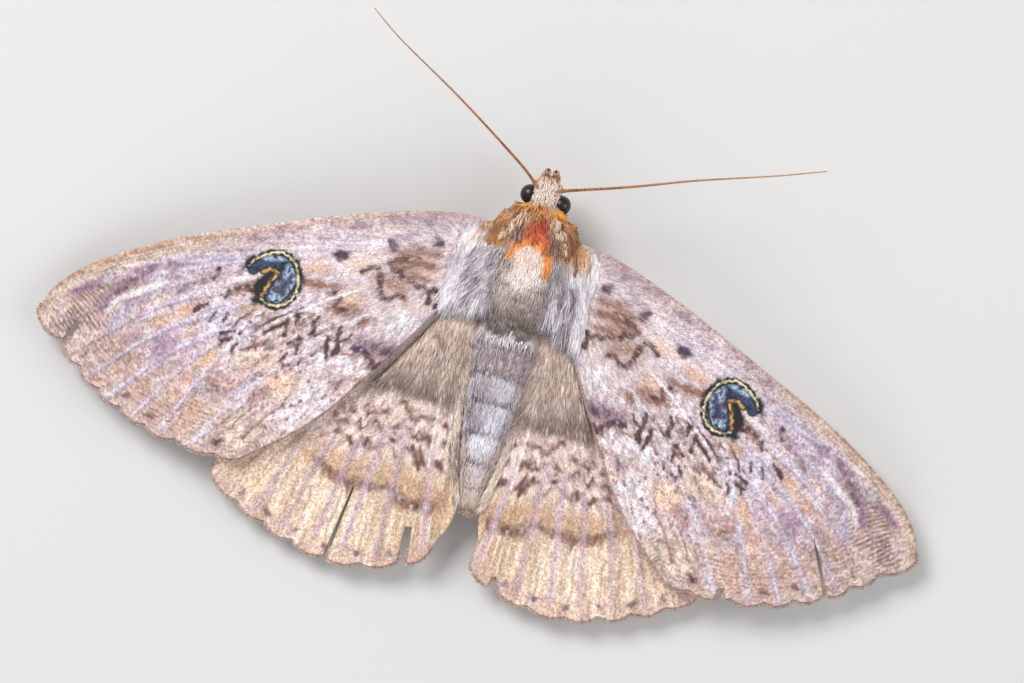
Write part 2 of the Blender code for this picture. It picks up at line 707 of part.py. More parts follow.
def make_leg(name, route, sign):
    """A leg under the wing, bent at the knee and ankle, its foot lying flat on the floor."""
    places = [model_point(BODY_SIDE + sign * out, ahead, up) for out, ahead, up in route]
    path, radii = [], []
    for k, (a, b) in enumerate(zip(places, places[1:])):
        path += [a.lerp(b, share) for share in (0.0, 0.3, 0.7)]
        radii += LEG_RADII[k]
    return make_tube(name, path + places[-1:], radii + [0.2], 8, "leg", floor=True)


def build_moth():
    """Make every piece of the moth."""
    for thing in list(bpy.data.objects):
        bpy.data.objects.remove(thing)
    make_head()
    make_thorax()
    make_abdomen()
    make_proboscis()
    for name, side in SIDES.items():
        sign = side["sign"]
        make_forewing("forewing_" + name, side)
        make_hindwing("hindwing_" + name, side)
        make_eye("eye_" + name, sign)
        make_palp("palp_" + name, sign)
        for leg, route in LEGS.items():
            make_leg(leg + "_" + name, route, sign)
    for name, route in ANTENNAE.items():
        make_antenna(name, [model_point(*place) for place in route], 0.12)


build_moth()
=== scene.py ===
# %% [markdown]
# # Northern wattle moth
#
# The animal is a large moth that rests with its wings spread flat, like a scrap of bark. This script
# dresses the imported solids: fine wing sheets with their painted scales, one skin under the body's hair,
# and the hair itself as thousands of small closed tufts. Everything is worked out in millimetres and made
# metres once, when a mesh is finished.

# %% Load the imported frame
import math

import bmesh
import bpy
import numpy as np
from mathutils import Matrix, Vector
from mathutils.geometry import delaunay_2d_cdt


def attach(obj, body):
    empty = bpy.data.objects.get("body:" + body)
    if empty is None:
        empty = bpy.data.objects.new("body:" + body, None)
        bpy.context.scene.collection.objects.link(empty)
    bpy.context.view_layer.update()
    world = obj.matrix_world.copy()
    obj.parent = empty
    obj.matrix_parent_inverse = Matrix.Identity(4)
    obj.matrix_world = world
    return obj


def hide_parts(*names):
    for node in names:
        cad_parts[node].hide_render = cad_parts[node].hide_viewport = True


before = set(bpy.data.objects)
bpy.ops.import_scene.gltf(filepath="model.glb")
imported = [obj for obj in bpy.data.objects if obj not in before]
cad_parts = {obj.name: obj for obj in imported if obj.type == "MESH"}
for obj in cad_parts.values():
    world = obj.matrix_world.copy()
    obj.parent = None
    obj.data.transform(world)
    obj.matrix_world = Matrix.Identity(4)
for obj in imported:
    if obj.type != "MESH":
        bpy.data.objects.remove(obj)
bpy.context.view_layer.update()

# %% [markdown]
# ## Sizes and places
#
# A place on the moth is given as side (from the middle of the wings, left is positive), ahead (towards the
# head) and up (above the floor). On a wing, out is the distance from the middle line on either side. These
# are the same few sizes that the solids were built from, so each piece lies where its solid does.

# %% Driving sizes, in millimetres
MM = 0.001
ORIGIN_AHEAD = -6.1
BODY_SIDE = -0.4
HEAD_SIDE = BODY_SIDE + 0.05
HINGE_UP = 7.0
WING_FALL = 0.115
WING_ARCH = 0.5
WING_LAP = 1.15
SHEET_THICK = 0.24
SCALLOP = 0.48
THORAX_UP = 6.1
THORAX_WIDTH = 7.2
THORAX_DEPTH = 6.6
ABDOMEN_UP = 5.15
ABDOMEN_FALL = 0.085
ABDOMEN_DEPTH = 0.92
FORE_HINGE = np.array((4.0, 0.0))
HIND_HINGE = np.array((4.0, -5.0))
SIDES = {
    "left": {"sign": 1, "fore_swing": 1.8, "fore_scale": 0.988, "fore_bow": 0.45, "hind_swing": -2.2},
    "right": {"sign": -1, "fore_swing": 0.0, "fore_scale": 1.0, "fore_bow": 0.0, "hind_swing": 0.0},
}
# Each tergite of the abdomen: where it ends, its half width and its place to the right
ABDOMEN_RINGS = np.array((
    (-5.2, 2.35, 0.3), (-7.2, 2.8, 0.33), (-9.7, 2.62, 0.4), (-12.1, 2.35, 0.45),
    (-14.9, 1.98, 0.5), (-17.5, 1.5, 0.6), (-19.8, 1.0, 0.75), (-21.4, 0.62, 0.88),
))


def along_abdomen(ahead, column):
    """A value of the abdomen's rings at a place along it."""
    return np.interp(-np.asarray(ahead, float), -ABDOMEN_RINGS[:, 0], ABDOMEN_RINGS[:, column])


def body_side(ahead):
    """Where the body's middle line lies."""
    return np.where(np.asarray(ahead) > ABDOMEN_RINGS[0, 0], BODY_SIDE, -along_abdomen(ahead, 2))


def wing_up(out, ahead):
    """The middle height of the forewing."""
    run = np.hypot(out - 3.8, ahead)
    return HINGE_UP - WING_FALL * run + WING_ARCH * np.sin(np.pi * np.minimum(run, 40.0) / 40.0)


def hind_up(out, ahead):
    """The hindwing's height, under the forewing, with soft pleats along the abdomen."""
    run = np.hypot(out - HIND_HINGE[0], ahead - HIND_HINGE[1])
    fold = np.exp(-np.maximum(0.0, out - 1.5) / 2.6) * np.minimum(1.0, run / 12.0)
    return wing_up(out, ahead) - WING_LAP - 0.012 * run + 0.28 * fold * np.cos(2.0 * np.pi * out / 2.1)


def model_points(side, ahead, up):
    """Places on the moth as points of the model, in millimetres."""
    side, ahead, up = np.broadcast_arrays(side, ahead, up)
    return np.stack((side, ORIGIN_AHEAD - ahead, up), -1).astype(float)


print("wing tip height mm:", round(float(wing_up(39.0, -15.0)), 2))

# %% [markdown]
# ## Brushes
#
# The moth's markings are far too fine for separate pieces of mesh, and no picture is used. So every dense
# mesh carries a colour at each of its points, painted by a few brushes: a cloud of smooth random shading, a
# stroke along a line of places, and an oval blot. Their edges are shaken a little, as real marks are made
# of single scales.


# %% Colour and noise brushes
def ink(red, green, blue):
    """A colour as seen on a screen, made linear for the shader."""
    seen = np.array((red, green, blue)) / 255.0
    return np.where(seen > 0.04045, ((seen + 0.055) / 1.055) ** 2.4, seen / 12.92)


def cloud(x, y, size, seed):
    """Smooth random shading from -1 to 1, in patches about one size across."""
    across, along = np.floor(x / size), np.floor(y / size)
    a, b = x / size - across, y / size - along
    a, b = a * a * (3 - 2 * a), b * b * (3 - 2 * b)

    def knot(i, j):
        wave = np.sin((across + i) * 127.1 + (along + j) * 311.7 + seed * 74.7) * 43758.5453
        return 2.0 * (wave - np.floor(wave)) - 1.0

    near = knot(0, 0) * (1 - a) + knot(1, 0) * a
    far = knot(0, 1) * (1 - a) + knot(1, 1) * a
    return near * (1 - b) + far * b


def clouds(x, y, size, seed, layers=3):
    """Several layers of cloud, each half the size of the last."""
    total = sum(cloud(x, y, size / 2 ** k, seed + k) / 2 ** k for k in range(layers))
    return total / sum(0.5 ** k for k in range(layers))


def ramp(value, width=1.0):
    """A value as a share of some width, held from 0 to 1."""
    return np.clip(value / width, 0.0, 1.0)


def reach(spots, line):
    """How far each spot is from a line drawn through some places."""
    line = np.array(line, float)
    best = np.hypot(*(spots - line[0]).T)
    for a, b in zip(line, line[1:]):
        run = b - a
        share = ramp((spots - a) @ run / (run @ run))
        best = np.minimum(best, np.hypot(*(spots - a - share[:, None] * run).T))
    return best


def stroke(spots, line, width, edge=0.25):
    """How fully a brush stroke covers each spot, 1 in its middle and 0 outside it."""
    return ramp((width / 2 - reach(spots, line)) / edge + 0.5)


def blot(spots, middle, size, turn=0.0, edge=0.35):
    """How fully an oval blot covers each spot; turn is in degrees."""
    x, y = (spots - np.array(middle)).T
    angle = math.radians(turn)
    a = (x * math.cos(angle) + y * math.sin(angle)) / (size[0] / 2)
    b = (y * math.cos(angle) - x * math.sin(angle)) / (size[1] / 2)
    return ramp((1.0 - np.hypot(a, b)) * min(size) / 2 / edge + 0.5)


def lay(paint, cover, colour):
    """Lay a colour over the paint, as fully as cover says."""
    return paint + (colour - paint) * ramp(cover)[..., None]


def shake(spots, amount, size, seed):
    """The spots moved about a little, so that marks drawn on them have ragged edges."""
    x, y = spots.T
    return spots + amount * np.stack((cloud(x, y, size, seed), cloud(x, y, size, seed + 9)), 1)


def fray(spots, hinge, amount, seed):
    """The spots slid along a wing's lie by fine streaks, so that marks end in single scales."""
    away = spots - hinge
    run = np.hypot(*away.T)
    turn = np.arctan2(away[:, 1], away[:, 0])
    far = np.clip((run - 5.0) / 9.0, 0.1, 1.0)
    slip = far * (cloud(turn * 60.0, run / 1.6, 1.0, seed) + 0.7 * far * cloud(turn * 110.0, run, 1.0,
            seed + 3))
    slip = slip + (1.0 - far) * cloud(spots[:, 0], spots[:, 1], 0.4, seed + 5)
    return spots + amount * slip[:, None] * away / np.maximum(run, 0.1)[:, None]


LILAC, PEACH, PALE = ink(230, 213, 221), ink(236, 204, 189), ink(236, 224, 228)
WHITE, VEIN, BLACK = ink(248, 242, 246), ink(222, 212, 228), ink(18, 16, 20)
BROWN, DARK_BROWN, MAUVE = ink(148, 106, 88), ink(84, 50, 50), ink(146, 116, 136)
PLUM, ROSE, GREY_LILAC = ink(80, 54, 74), ink(196, 158, 164), ink(182, 172, 196)
ORANGE, RUST = ink(186, 142, 112), ink(168, 112, 92)
print("brushes ready; lilac is", [round(float(c), 3) for c in LILAC])

# %% [markdown]
# ## The forewing's pattern
#
# The forewing is pinkish lilac with tan clouds, crossed by brown wavy lines near the body and by a fan of
# zigzags in the middle. Pale scales lie along its veins. The great mark is the eyespot: a glossy steel-blue
# comma with a fine yellow rim inside a black one. The pattern is laid on from the ground up, in the places
# of the right wing, and the left wing wears the same one.

# %% Veins and outline of the right forewing
FORE_COSTA = (
    (4.6, 2.7), (8, 2.1), (14, 0.0), (22, -3.5), (30, -7.2), (36, -10.9), (39, -13.9), (39.9, -16.4),
)
FORE_VALLEYS = ((39.9, -16.4), (37.0, -18.2), (34.8, -19.9), (32.7, -21.3), (30.3, -22.3),
                (27.9, -23.2), (24.9, -23.6), (21.2, -23.8), (18.5, -23.2))
FORE_INNER = ((18.5, -23.2), (15.5, -20.5), (12.7, -17.3), (10.0, -13.0), (7.0, -8.0), (5.3, -4.6))
FORE_VEINS = (
    ((5.0, 1.6), (15.0, -2.1), (26.0, -5.3)),
    ((4.6, 0.6), (15.0, -3.3), (31.0, -7.7)),
    ((18.5, -4.5), (27.0, -7.6), (34.6, -9.9)),
    ((22.5, -6.2), (30.0, -9.0), (37.2, -11.9)),
    ((22.9, -6.7), (31.0, -10.4), (39.3, -14.6)),
    ((22.9, -7.3), (30.5, -11.7), (38.4, -17.2)),
    ((22.6, -8.3), (29.8, -13.1), (35.9, -19.0)),
    ((21.9, -10.2), (28.6, -14.8), (33.8, -20.5)),
    ((20.9, -11.5), (27.0, -16.0), (31.6, -21.8)),
    ((4.6, -1.2), (11.5, -4.4), (20.9, -11.5)),
    ((18.9, -9.8), (25.0, -16.0), (29.1, -22.8)),
    ((16.2, -7.9), (22.6, -14.7), (26.4, -23.3)),
    ((4.8, -2.6), (14.0, -10.9), (23.1, -23.3)),
)


def curve(points, step):
    """A smooth curve through the points, with a place about every step."""
    points = [np.array(p, float) for p in points]
    ends = [points[0] * 2 - points[1]] + points + [points[-1] * 2 - points[-2]]
    line = []
    for a, b, c, d in zip(ends, ends[1:], ends[2:], ends[3:]):
        count = max(1, round(float(np.linalg.norm(c - b)) / step))
        for k in range(count):
            t = k / count
            line.append(0.5 * (b * 2 + (c - a) * t + (a * 2 - b * 5 + c * 4 - d) * t * t
                               + (b * 3 - a - c * 3 + d) * t ** 3))
    return line + [points[-1]]


def near_veins(spots, veins):
    """How far each spot is from the nearest vein."""
    return np.min([reach(spots, curve(vein, 1.5)) for vein in veins], 0)


print("forewing veins:", len(FORE_VEINS))

# %% Marks of the forewing
EYESPOT_MIDDLE = (20.4, -7.7)
EYESPOT_RIM = (
    (21.15, -9.64), (20.67, -9.9), (20.1, -9.96), (19.55, -9.85), (18.93, -9.5), (18.5, -8.95),
    (18.26, -8.2), (18.3, -7.5), (18.5, -6.7), (18.93, -5.96), (19.55, -5.47), (20.4, -5.26), (21.2, -5.47),
    (22.05, -6.03), (22.6, -6.6), (22.86, -7.14),
)
EYESPOT_HOOK = (
    (21.6, -7.35), (21.08, -7.0), (20.6, -6.93), (20.3, -7.07), (20.46, -7.5), (20.74, -8.1),
    (20.94, -8.67), (21.08, -9.3),
)
EYESPOT_LOBE = ((20.05, -8.95), (19.75, -8.5), (19.5, -8.0), (19.3, -7.3))
EYESPOT_ARC = ((19.3, -7.3), (19.55, -6.5), (20.2, -6.1), (21.0, -6.15), (21.7, -6.6))
EYESPOT_TAIL = ((21.5, -6.45), (22.1, -6.9), (22.45, -7.4))
# Oval blots of black round the eyespot and of light on it: middle, length and width, turn
EYESPOT_SHADOWS = (
    ((18.4, -6.4), (0.5, 2.4), -26), ((21.45, -8.6), (0.95, 2.1), 12), ((21.4, -9.9), (0.9, 0.7), 0),
    ((23.15, -7.1), (0.35, 1.8), 20),
)
EYESPOT_GLINTS = (
    ((19.3, -6.4), (0.9, 0.7), 30), ((18.9, -8.1), (0.4, 1.9), 10), ((19.9, -9.2), (1.4, 0.7), 0),
    ((20.9, -5.9), (2.2, 0.45), -15), ((19.5, -7.0), (0.5, 0.7), 0), ((20.1, -8.2), (0.3, 1.4), 22),
)

# Each mark: its ink, its width, how strongly it is laid on, and the places it runs through. Fine strokes are
# crisp, and broad ones break up into streaks of scales.
BROAD_STROKE = 0.4
FORE_STROKES = (
    (BROWN, 0.7, 0.5, ((7.3, -1.5), (8.7, -1.6), (9.9, -2.3))),
    (DARK_BROWN, 0.3, 0.6, ((8.6, -2.3), (9.6, -2.9), (10.8, -3.2))),
    (BROWN, 0.5, 0.7, ((7.4, -2.7), (8.2, -2.6), (9.3, -2.9))),
    (DARK_BROWN, 0.5, 0.75, ((10.0, -2.6), (10.6, -2.9), (11.2, -3.4))),
    (BROWN, 0.6, 0.4, ((8.0, -3.9), (9.2, -3.7), (10.4, -3.3))),
    (DARK_BROWN, 0.45, 0.7, ((7.6, -4.6), (8.2, -4.8), (8.8, -4.4), (9.4, -4.5), (9.9, -3.9),
                             (10.7, -3.8))),
    (DARK_BROWN, 0.42, 0.85, ((11.5, -4.6), (12.1, -4.2), (12.6, -4.3), (13.2, -4.8))),
    (DARK_BROWN, 0.45, 0.8, ((9.1, -5.9), (9.6, -5.9), (10.1, -6.4), (10.8, -6.6), (11.2, -6.1),
                             (11.4, -5.4), (11.7, -4.8))),
    (BROWN, 0.9, 0.45, ((9.4, -5.2), (10.6, -5.1))),
    (DARK_BROWN, 0.5, 0.75, ((6.7, -4.6), (7.1, -4.8), (6.8, -5.7))),
    (DARK_BROWN, 0.3, 0.85, ((5.2, -5.2), (5.7, -5.6), (6.2, -6.0))),
    (GREY_LILAC, 0.7, 0.8, ((5.8, -6.6), (6.2, -7.2), (6.9, -7.4))),
    (DARK_BROWN, 0.3, 0.6, ((6.1, -7.5), (6.6, -8.2))),
    (BROWN, 0.9, 0.7, ((12.6, -8.1), (13.6, -8.5), (14.7, -8.6))),
    (DARK_BROWN, 0.5, 0.7, ((13.7, -8.5), (14.4, -8.5), (14.5, -7.7))),
    (BROWN, 0.5, 0.7, ((14.8, -6.7), (15.9, -6.9), (17.2, -7.1), (18.0, -7.0))),
    (PLUM, 0.35, 0.7, ((15.0, -7.2), (15.4, -7.4))),
    (MAUVE, 1.3, 0.45, ((8.2, -10.6), (10.0, -10.7), (11.6, -11.0))),
    (PLUM, 0.7, 0.4, ((8.6, -11.0), (10.4, -10.9))),
    (PLUM, 0.5, 0.8, ((9.7, -12.5), (10.3, -11.8), (11.1, -11.4), (12.1, -11.3))),
    (PLUM, 0.5, 0.8, ((7.6, -10.4), (8.3, -11.1), (9.0, -11.9), (9.7, -12.5))),
    (BROWN, 0.4, 0.6, ((11.5, -8.6), (12.2, -9.2))),
    (DARK_BROWN, 0.34, 0.8, ((13.6, -10.0), (13.6, -10.6), (13.44, -11.4), (13.3, -12.0), (13.65, -12.5))),
    (DARK_BROWN, 0.32, 0.8, ((14.4, -11.3), (14.28, -12.0), (14.35, -12.5), (14.1, -12.9))),
    (DARK_BROWN, 0.2, 0.8, ((14.2, -10.2), (14.7, -10.6), (15.1, -11.0), (15.7, -11.45), (15.95, -11.7))),
    (DARK_BROWN, 0.28, 0.8, ((15.78, -9.8), (15.94, -10.2), (15.94, -10.9), (15.9, -11.6))),
    (DARK_BROWN, 0.26, 0.8, ((17.3, -9.5), (17.5, -10.2), (17.44, -10.9))),
    (DARK_BROWN, 0.26, 0.8, ((18.24, -10.7), (18.3, -11.3), (18.2, -12.1))),
    (DARK_BROWN, 0.2, 0.85, ((18.3, -11.1), (18.7, -11.4), (19.3, -11.86), (19.85, -12.4))),
    (DARK_BROWN, 0.2, 0.75, ((18.2, -10.0), (18.7, -10.5), (19.3, -10.9), (19.85, -11.6), (20.4, -12.0))),
    (DARK_BROWN, 0.28, 0.8, ((16.7, -11.9), (16.8, -12.5), (16.75, -13.3))),
    (DARK_BROWN, 0.22, 0.8, ((16.8, -11.9), (17.3, -12.4), (17.8, -12.7))),
    (PLUM, 0.2, 0.7, ((16.1, -13.6), (16.3, -14.2), (17.0, -14.4), (17.6, -14.9))),
    (PLUM, 0.28, 0.8, ((17.5, -13.7), (17.8, -14.2))),
    (BROWN, 0.16, 0.6, ((16.3, -9.6), (16.9, -10.4), (17.2, -11.2))),
    (BROWN, 0.18, 0.6, ((14.9, -12.4), (15.4, -13.2))),
    (BROWN, 0.18, 0.6, ((19.2, -9.9), (19.9, -10.6), (20.5, -11.3))),
    (PLUM, 0.16, 0.6, ((12.4, -10.4), (12.9, -11.0), (13.2, -11.2))),
    (PLUM, 0.2, 0.7, ((20.4, -13.9), (21.0, -14.2), (21.5, -14.6))),
    (PLUM, 0.22, 0.7, ((21.9, -13.0), (22.8, -13.1), (23.6, -13.6))),
    (DARK_BROWN, 0.26, 0.8, ((22.6, -13.7), (23.3, -14.1), (23.2, -14.6))),
    (DARK_BROWN, 0.22, 0.8, ((23.6, -11.8), (23.65, -12.5))),
    (BROWN, 0.5, 0.75, ((22.2, -8.8), (22.8, -9.1), (23.2, -9.4))),
    (PLUM, 0.2, 0.6, ((21.6, -10.9), (22.2, -11.8), (22.6, -12.6))),
    (PLUM, 0.2, 0.6, ((24.6, -11.9), (25.0, -12.7))), (PLUM, 0.18, 0.6, ((22.0, -14.0), (22.3, -14.9))),
    (BROWN, 0.2, 0.5, ((19.0, -14.2), (20.0, -15.4))),
    (MAUVE, 0.8, 0.5, ((31.0, -9.8), (32.3, -11.0), (33.9, -13.0), (34.6, -14.6))),
    (PLUM, 0.5, 0.35, ((32.2, -11.4), (33.4, -12.8))),
    (MAUVE, 0.9, 0.5, ((34.6, -11.6), (36.2, -12.9), (37.6, -13.6))),
    (GREY_LILAC, 0.8, 0.4, ((30.6, -12.2), (32.4, -14.0), (33.2, -16.0))),
    (PLUM, 0.4, 0.75, ((26.3, -9.0), (26.5, -9.8))), (PLUM, 0.32, 0.75, ((25.3, -8.2), (25.6, -9.2))),
    (DARK_BROWN, 0.3, 0.8, ((25.5, -11.4), (26.0, -11.9), (26.3, -12.4))),
    (DARK_BROWN, 0.5, 0.75, ((21.9, -9.0), (22.9, -9.1), (23.2, -9.5))),
    (PLUM, 0.4, 0.6, ((23.9, -9.9), (24.1, -10.4))),
    (WHITE, 0.5, 0.3, ((29.6, -10.6), (31.8, -12.2), (33.0, -13.4), (33.9, -14.6))),
    (WHITE, 0.12, 0.7, ((13.3, -6.6), (15.0, -7.7), (17.05, -9.4), (18.2, -10.3), (19.4, -11.4),
                        (20.4, -12.5), (21.8, -13.6))),
    (WHITE, 0.12, 0.5, ((11.8, -8.25), (12.9, -9.4), (14.3, -10.2), (15.6, -11.8), (16.4, -13.2))),
    (WHITE, 0.12, 0.5, ((13.9, -4.9), (15.9, -6.2), (17.6, -6.7))),
    (WHITE, 0.14, 0.6, ((20.9, -10.9), (21.9, -12.4), (22.6, -14.2), (22.8, -15.6))),
    (GREY_LILAC, 0.35, 0.4, ((19.4, -16.0), (20.9, -18.0), (21.6, -19.0))),
    (VEIN, 0.2, 0.6, ((19.0, -16.0), (20.8, -18.6), (23.0, -23.0))),
    (BROWN, 0.13, 0.7, ((16.4, -17.8), (18.1, -20.0), (19.2, -22.0))),
    (BROWN, 0.13, 0.6, ((19.0, -18.9), (20.4, -21.2), (21.4, -22.6))),
)
# Each blot: its ink, its middle, its length and width, its turn, and how strongly it is laid on
FORE_WASHES = (
    (ink(204, 168, 144), (8.8, -3.1), (4.2, 3.4), -25, 0.7),
    (ink(214, 176, 150), (10.6, -5.1), (3.2, 1.4), -20, 0.6),
    (ink(188, 166, 188), (9.4, -10.6), (3.6, 1.4), -8, 0.35), (PALE, (8.8, -8.3), (2.6, 2.2), 0, 0.9),
    (ink(236, 222, 234), (10.2, -9.7), (3.0, 1.2), -10, 0.8), (WHITE, (8.6, -8.2), (1.4, 1.5), 0, 0.9),
    (PALE, (10.3, -9.7), (2.2, 0.9), -10, 0.7), (PALE, (12.8, -12.9), (5.0, 1.9), -12, 0.9),
    (WHITE, (14.8, -13.4), (1.5, 1.6), 0, 0.9), (WHITE, (11.6, -13.2), (2.0, 1.0), 0, 0.5),
    (ink(196, 188, 204), (10.0, -0.7), (3.2, 0.9), -32, 0.8), (WHITE, (5.9, 1.0), (2.0, 1.3), -30, 0.9),
    (PALE, (13.2, -2.6), (3.4, 1.1), -30, 0.8), (PALE, (17.5, -4.0), (4.0, 0.8), -24, 0.6),
    (PALE, (14.2, -16.6), (3.0, 2.6), -45, 0.8), (PALE, (16.3, -19.8), (3.4, 2.2), -52, 0.85),
    (ink(244, 204, 178), (17.3, -16.4), (3.0, 2.6), -35, 0.95),
    (ink(218, 170, 138), (17.1, -5.9), (2.7, 1.3), -24, 0.95),
    (ink(246, 206, 180), (13.4, -7.5), (2.8, 1.6), -18, 0.9),
    (ink(240, 208, 188), (13.5, -4.0), (2.4, 1.2), -28, 0.85),
    (ink(222, 176, 138), (21.8, -10.9), (1.6, 1.3), -40, 0.9),
    (ink(214, 168, 128), (24.0, -15.8), (1.5, 2.3), 15, 0.9),
    (ink(252, 218, 194), (20.4, -14.7), (2.8, 1.6), -30, 0.9),
    (ink(222, 176, 144), (27.2, -12.8), (1.9, 1.3), -35, 0.85),
    (ink(196, 142, 110), (28.8, -14.1), (1.5, 1.3), -40, 0.85),
    (ink(218, 178, 160), (29.5, -12.4), (1.6, 1.0), -35, 0.7),
    (ink(206, 166, 150), (26.2, -14.4), (0.8, 1.1), 0, 0.8),
    (ink(210, 172, 156), (27.8, -16.2), (1.6, 1.8), -50, 0.7),
    (ink(206, 160, 132), (25.4, -17.8), (1.3, 3.0), 20, 0.7),
    (ink(222, 188, 160), (21.6, -20.8), (1.8, 4.0), 28, 0.7),
    (ink(206, 164, 128), (24.3, -21.0), (1.6, 3.0), 20, 0.7), (ROSE, (31.0, -13.4), (1.6, 1.2), -40, 0.7),
    (ROSE, (28.0, -9.8), (3.0, 1.0), -30, 0.4), (GREY_LILAC, (24.0, -12.0), (2.0, 3.6), 30, 0.45),
    (GREY_LILAC, (27.8, -15.2), (0.8, 2.6), 38, 0.6), (GREY_LILAC, (22.4, -17.2), (0.7, 2.6), 30, 0.5),
    (ROSE, (21.0, -16.4), (1.3, 2.6), 30, 0.5), (ROSE, (9.6, 0.6), (2.4, 0.8), -20, 0.5),
    (ink(254, 238, 230), (19.0, -21.2), (5.0, 2.8), -50, 0.9),
    (ink(250, 236, 242), (16.2, -19.4), (3.6, 2.4), -50, 0.9),
    (ink(232, 222, 240), (24.2, -12.0), (3.0, 3.0), 30, 0.8),
    (ink(252, 236, 238), (14.2, -16.6), (3.0, 2.4), -45, 0.8),
    (ink(250, 214, 200), (26.2, -19.2), (2.4, 3.2), 25, 0.8),
    (ink(164, 132, 158), (28.2, -16.2), (2.2, 3.6), 35, 0.75),
    (ink(250, 220, 204), (19.2, -14.5), (1.6, 1.4), -30, 0.7),
    (ink(146, 120, 116), (31.2, -17.6), (3.0, 3.4), 25, 0.7),
    (ink(160, 128, 118), (37.8, -15.0), (4.0, 4.2), 0, 0.8),
    (ink(180, 142, 128), (27.2, -21.6), (3.2, 2.0), -15, 0.55),
    (ink(168, 144, 154), (33.0, -15.0), (2.4, 3.4), 30, 0.5),
    (ink(150, 124, 112), (34.2, -17.9), (2.6, 2.4), 20, 0.7),
    (ink(146, 122, 134), (8.2, 1.2), (4.4, 1.5), -16, 0.8),
    (ink(172, 154, 166), (24.0, -5.6), (5.0, 1.6), -24, 0.6),
    (ink(226, 214, 228), (16.0, -3.0), (5.0, 1.4), -24, 0.5),
)
FORE_BLOTS = (
    (RUST, (18.9, -17.8), (2.2, 1.5), -35, 0.6), (ink(168, 128, 138), (19.2, -18.8), (1.4, 0.7), -35, 0.6),
    (RUST, (23.2, -17.8), (1.8, 1.6), -40, 0.6), (BROWN, (22.8, -18.4), (0.9, 1.0), -40, 0.8),
    (DARK_BROWN, (23.1, -18.9), (0.35, 0.6), 0, 0.6), (PLUM, (28.1, -11.0), (1.3, 1.1), -30, 0.55),
    (MAUVE, (29.3, -9.2), (1.7, 0.9), -25, 0.75), (RUST, (25.4, -18.2), (0.9, 1.3), 0, 0.5),
    (PLUM, (7.5, -0.5), (1.3, 0.75), 20, 0.95), (PLUM, (11.3, -1.8), (1.1, 1.0), -30, 0.85),
    (PLUM, (15.4, -3.95), (1.55, 1.15), 0, 1.0), (BROWN, (11.8, -9.0), (1.0, 0.8), -30, 0.85),
    (DARK_BROWN, (19.35, -13.4), (1.15, 0.95), -20, 0.8),
    (DARK_BROWN, (20.2, -13.6), (0.9, 0.4), -30, 0.75), (DARK_BROWN, (20.7, -12.35), (1.1, 0.42), -20, 0.8),
    (DARK_BROWN, (21.8, -12.3), (0.6, 0.3), 0, 0.6), (PLUM, (12.5, -14.8), (0.5, 0.4), 0, 0.7),
    (MAUVE, (12.8, -15.0), (1.5, 0.6), -20, 0.55), (PLUM, (21.4, -23.0), (1.0, 0.6), -15, 0.95),
    (MAUVE, (11.2, 0.6), (2.6, 0.8), -22, 0.65), (MAUVE, (8.6, 1.4), (2.2, 0.5), -16, 0.6),
    (MAUVE, (14.7, -1.0), (1.9, 0.9), -25, 0.75), (MAUVE, (20.4, -3.1), (3.6, 0.8), -26, 0.6),
    (MAUVE, (23.4, -4.7), (2.2, 0.8), -24, 0.6), (MAUVE, (26.6, -6.2), (2.6, 0.5), -24, 0.4),
    (GREY_LILAC, (25.4, -7.4), (3.6, 0.9), -24, 0.5), (PLUM, (27.6, -22.4), (0.5, 0.4), 0, 0.8),
    (PLUM, (30.1, -21.4), (0.5, 0.6), 0, 0.8), (PLUM, (34.8, -18.8), (0.3, 0.7), 20, 0.85),
    (PLUM, (36.9, -17.4), (0.4, 0.4), 0, 0.8),
)


def eyespot(spots):
    """The eyespot's glossy comma: 1 on its blue body, 0 elsewhere."""
    lobe, arc = stroke(spots, EYESPOT_LOBE, 1.62, 0.1), stroke(spots, EYESPOT_ARC, 1.05, 0.1)
    return np.maximum(np.maximum(lobe, arc), stroke(spots, EYESPOT_TAIL, 0.6, 0.1))


def paint_eyespot(paint, spots):
    """Lay the eyespot over the wing's paint: black, then the glossy comma and its yellow rims."""
    out, ahead = spots.T
    frayed = shake(shake(spots, 0.16, 0.35, 8), 0.07, 0.14, 9)
    paint = lay(paint, stroke(frayed, EYESPOT_RIM, 0.66, 0.2), BLACK)
    for line, width in ((EYESPOT_LOBE, 2.1), (EYESPOT_ARC, 1.6), (EYESPOT_TAIL, 1.0)):
        paint = lay(paint, stroke(spots, line, width, 0.2), BLACK)
    for middle, size, tilt in EYESPOT_SHADOWS:
        paint = lay(paint, blot(frayed, middle, size, tilt, 0.3), BLACK)
    blue = np.tile(ink(62, 76, 106), (len(spots), 1))
    blue = lay(blue, blot(spots, (19.8, -7.9), (0.8, 2.2), 22, 0.5), ink(92, 72, 116))
    blue = lay(blue, 0.4 + 0.8 * cloud(out, ahead, 0.3, 81), ink(30, 36, 54))
    for middle, size, tilt in EYESPOT_GLINTS:
        glint = blot(spots, middle, size, tilt, 0.3) * (0.6 + 0.9 * cloud(out, ahead, 0.2, 83))
        blue = lay(blue, glint, ink(176, 196, 218))
    paint = paint + (blue - paint) * eyespot(spots)[:, None]
    black = stroke(spots, ((20.85, -7.2), (21.1, -7.6), (21.3, -8.3), (21.45, -9.2)), 0.72, 0.15)
    paint = lay(paint, np.maximum(black, stroke(spots, EYESPOT_HOOK, 0.5, 0.12)), BLACK)
    ragged = shake(spots, 0.08, 0.22, 18)
    gaps = np.clip(0.9 + 0.9 * cloud(out, ahead, 0.3, 85), 0.25, 1)
    paint = lay(paint, gaps * stroke(ragged, EYESPOT_RIM, 0.17, 0.1), ink(240, 224, 180))
    return lay(paint, gaps * stroke(ragged, EYESPOT_HOOK, 0.26, 0.12), ink(212, 164, 92))


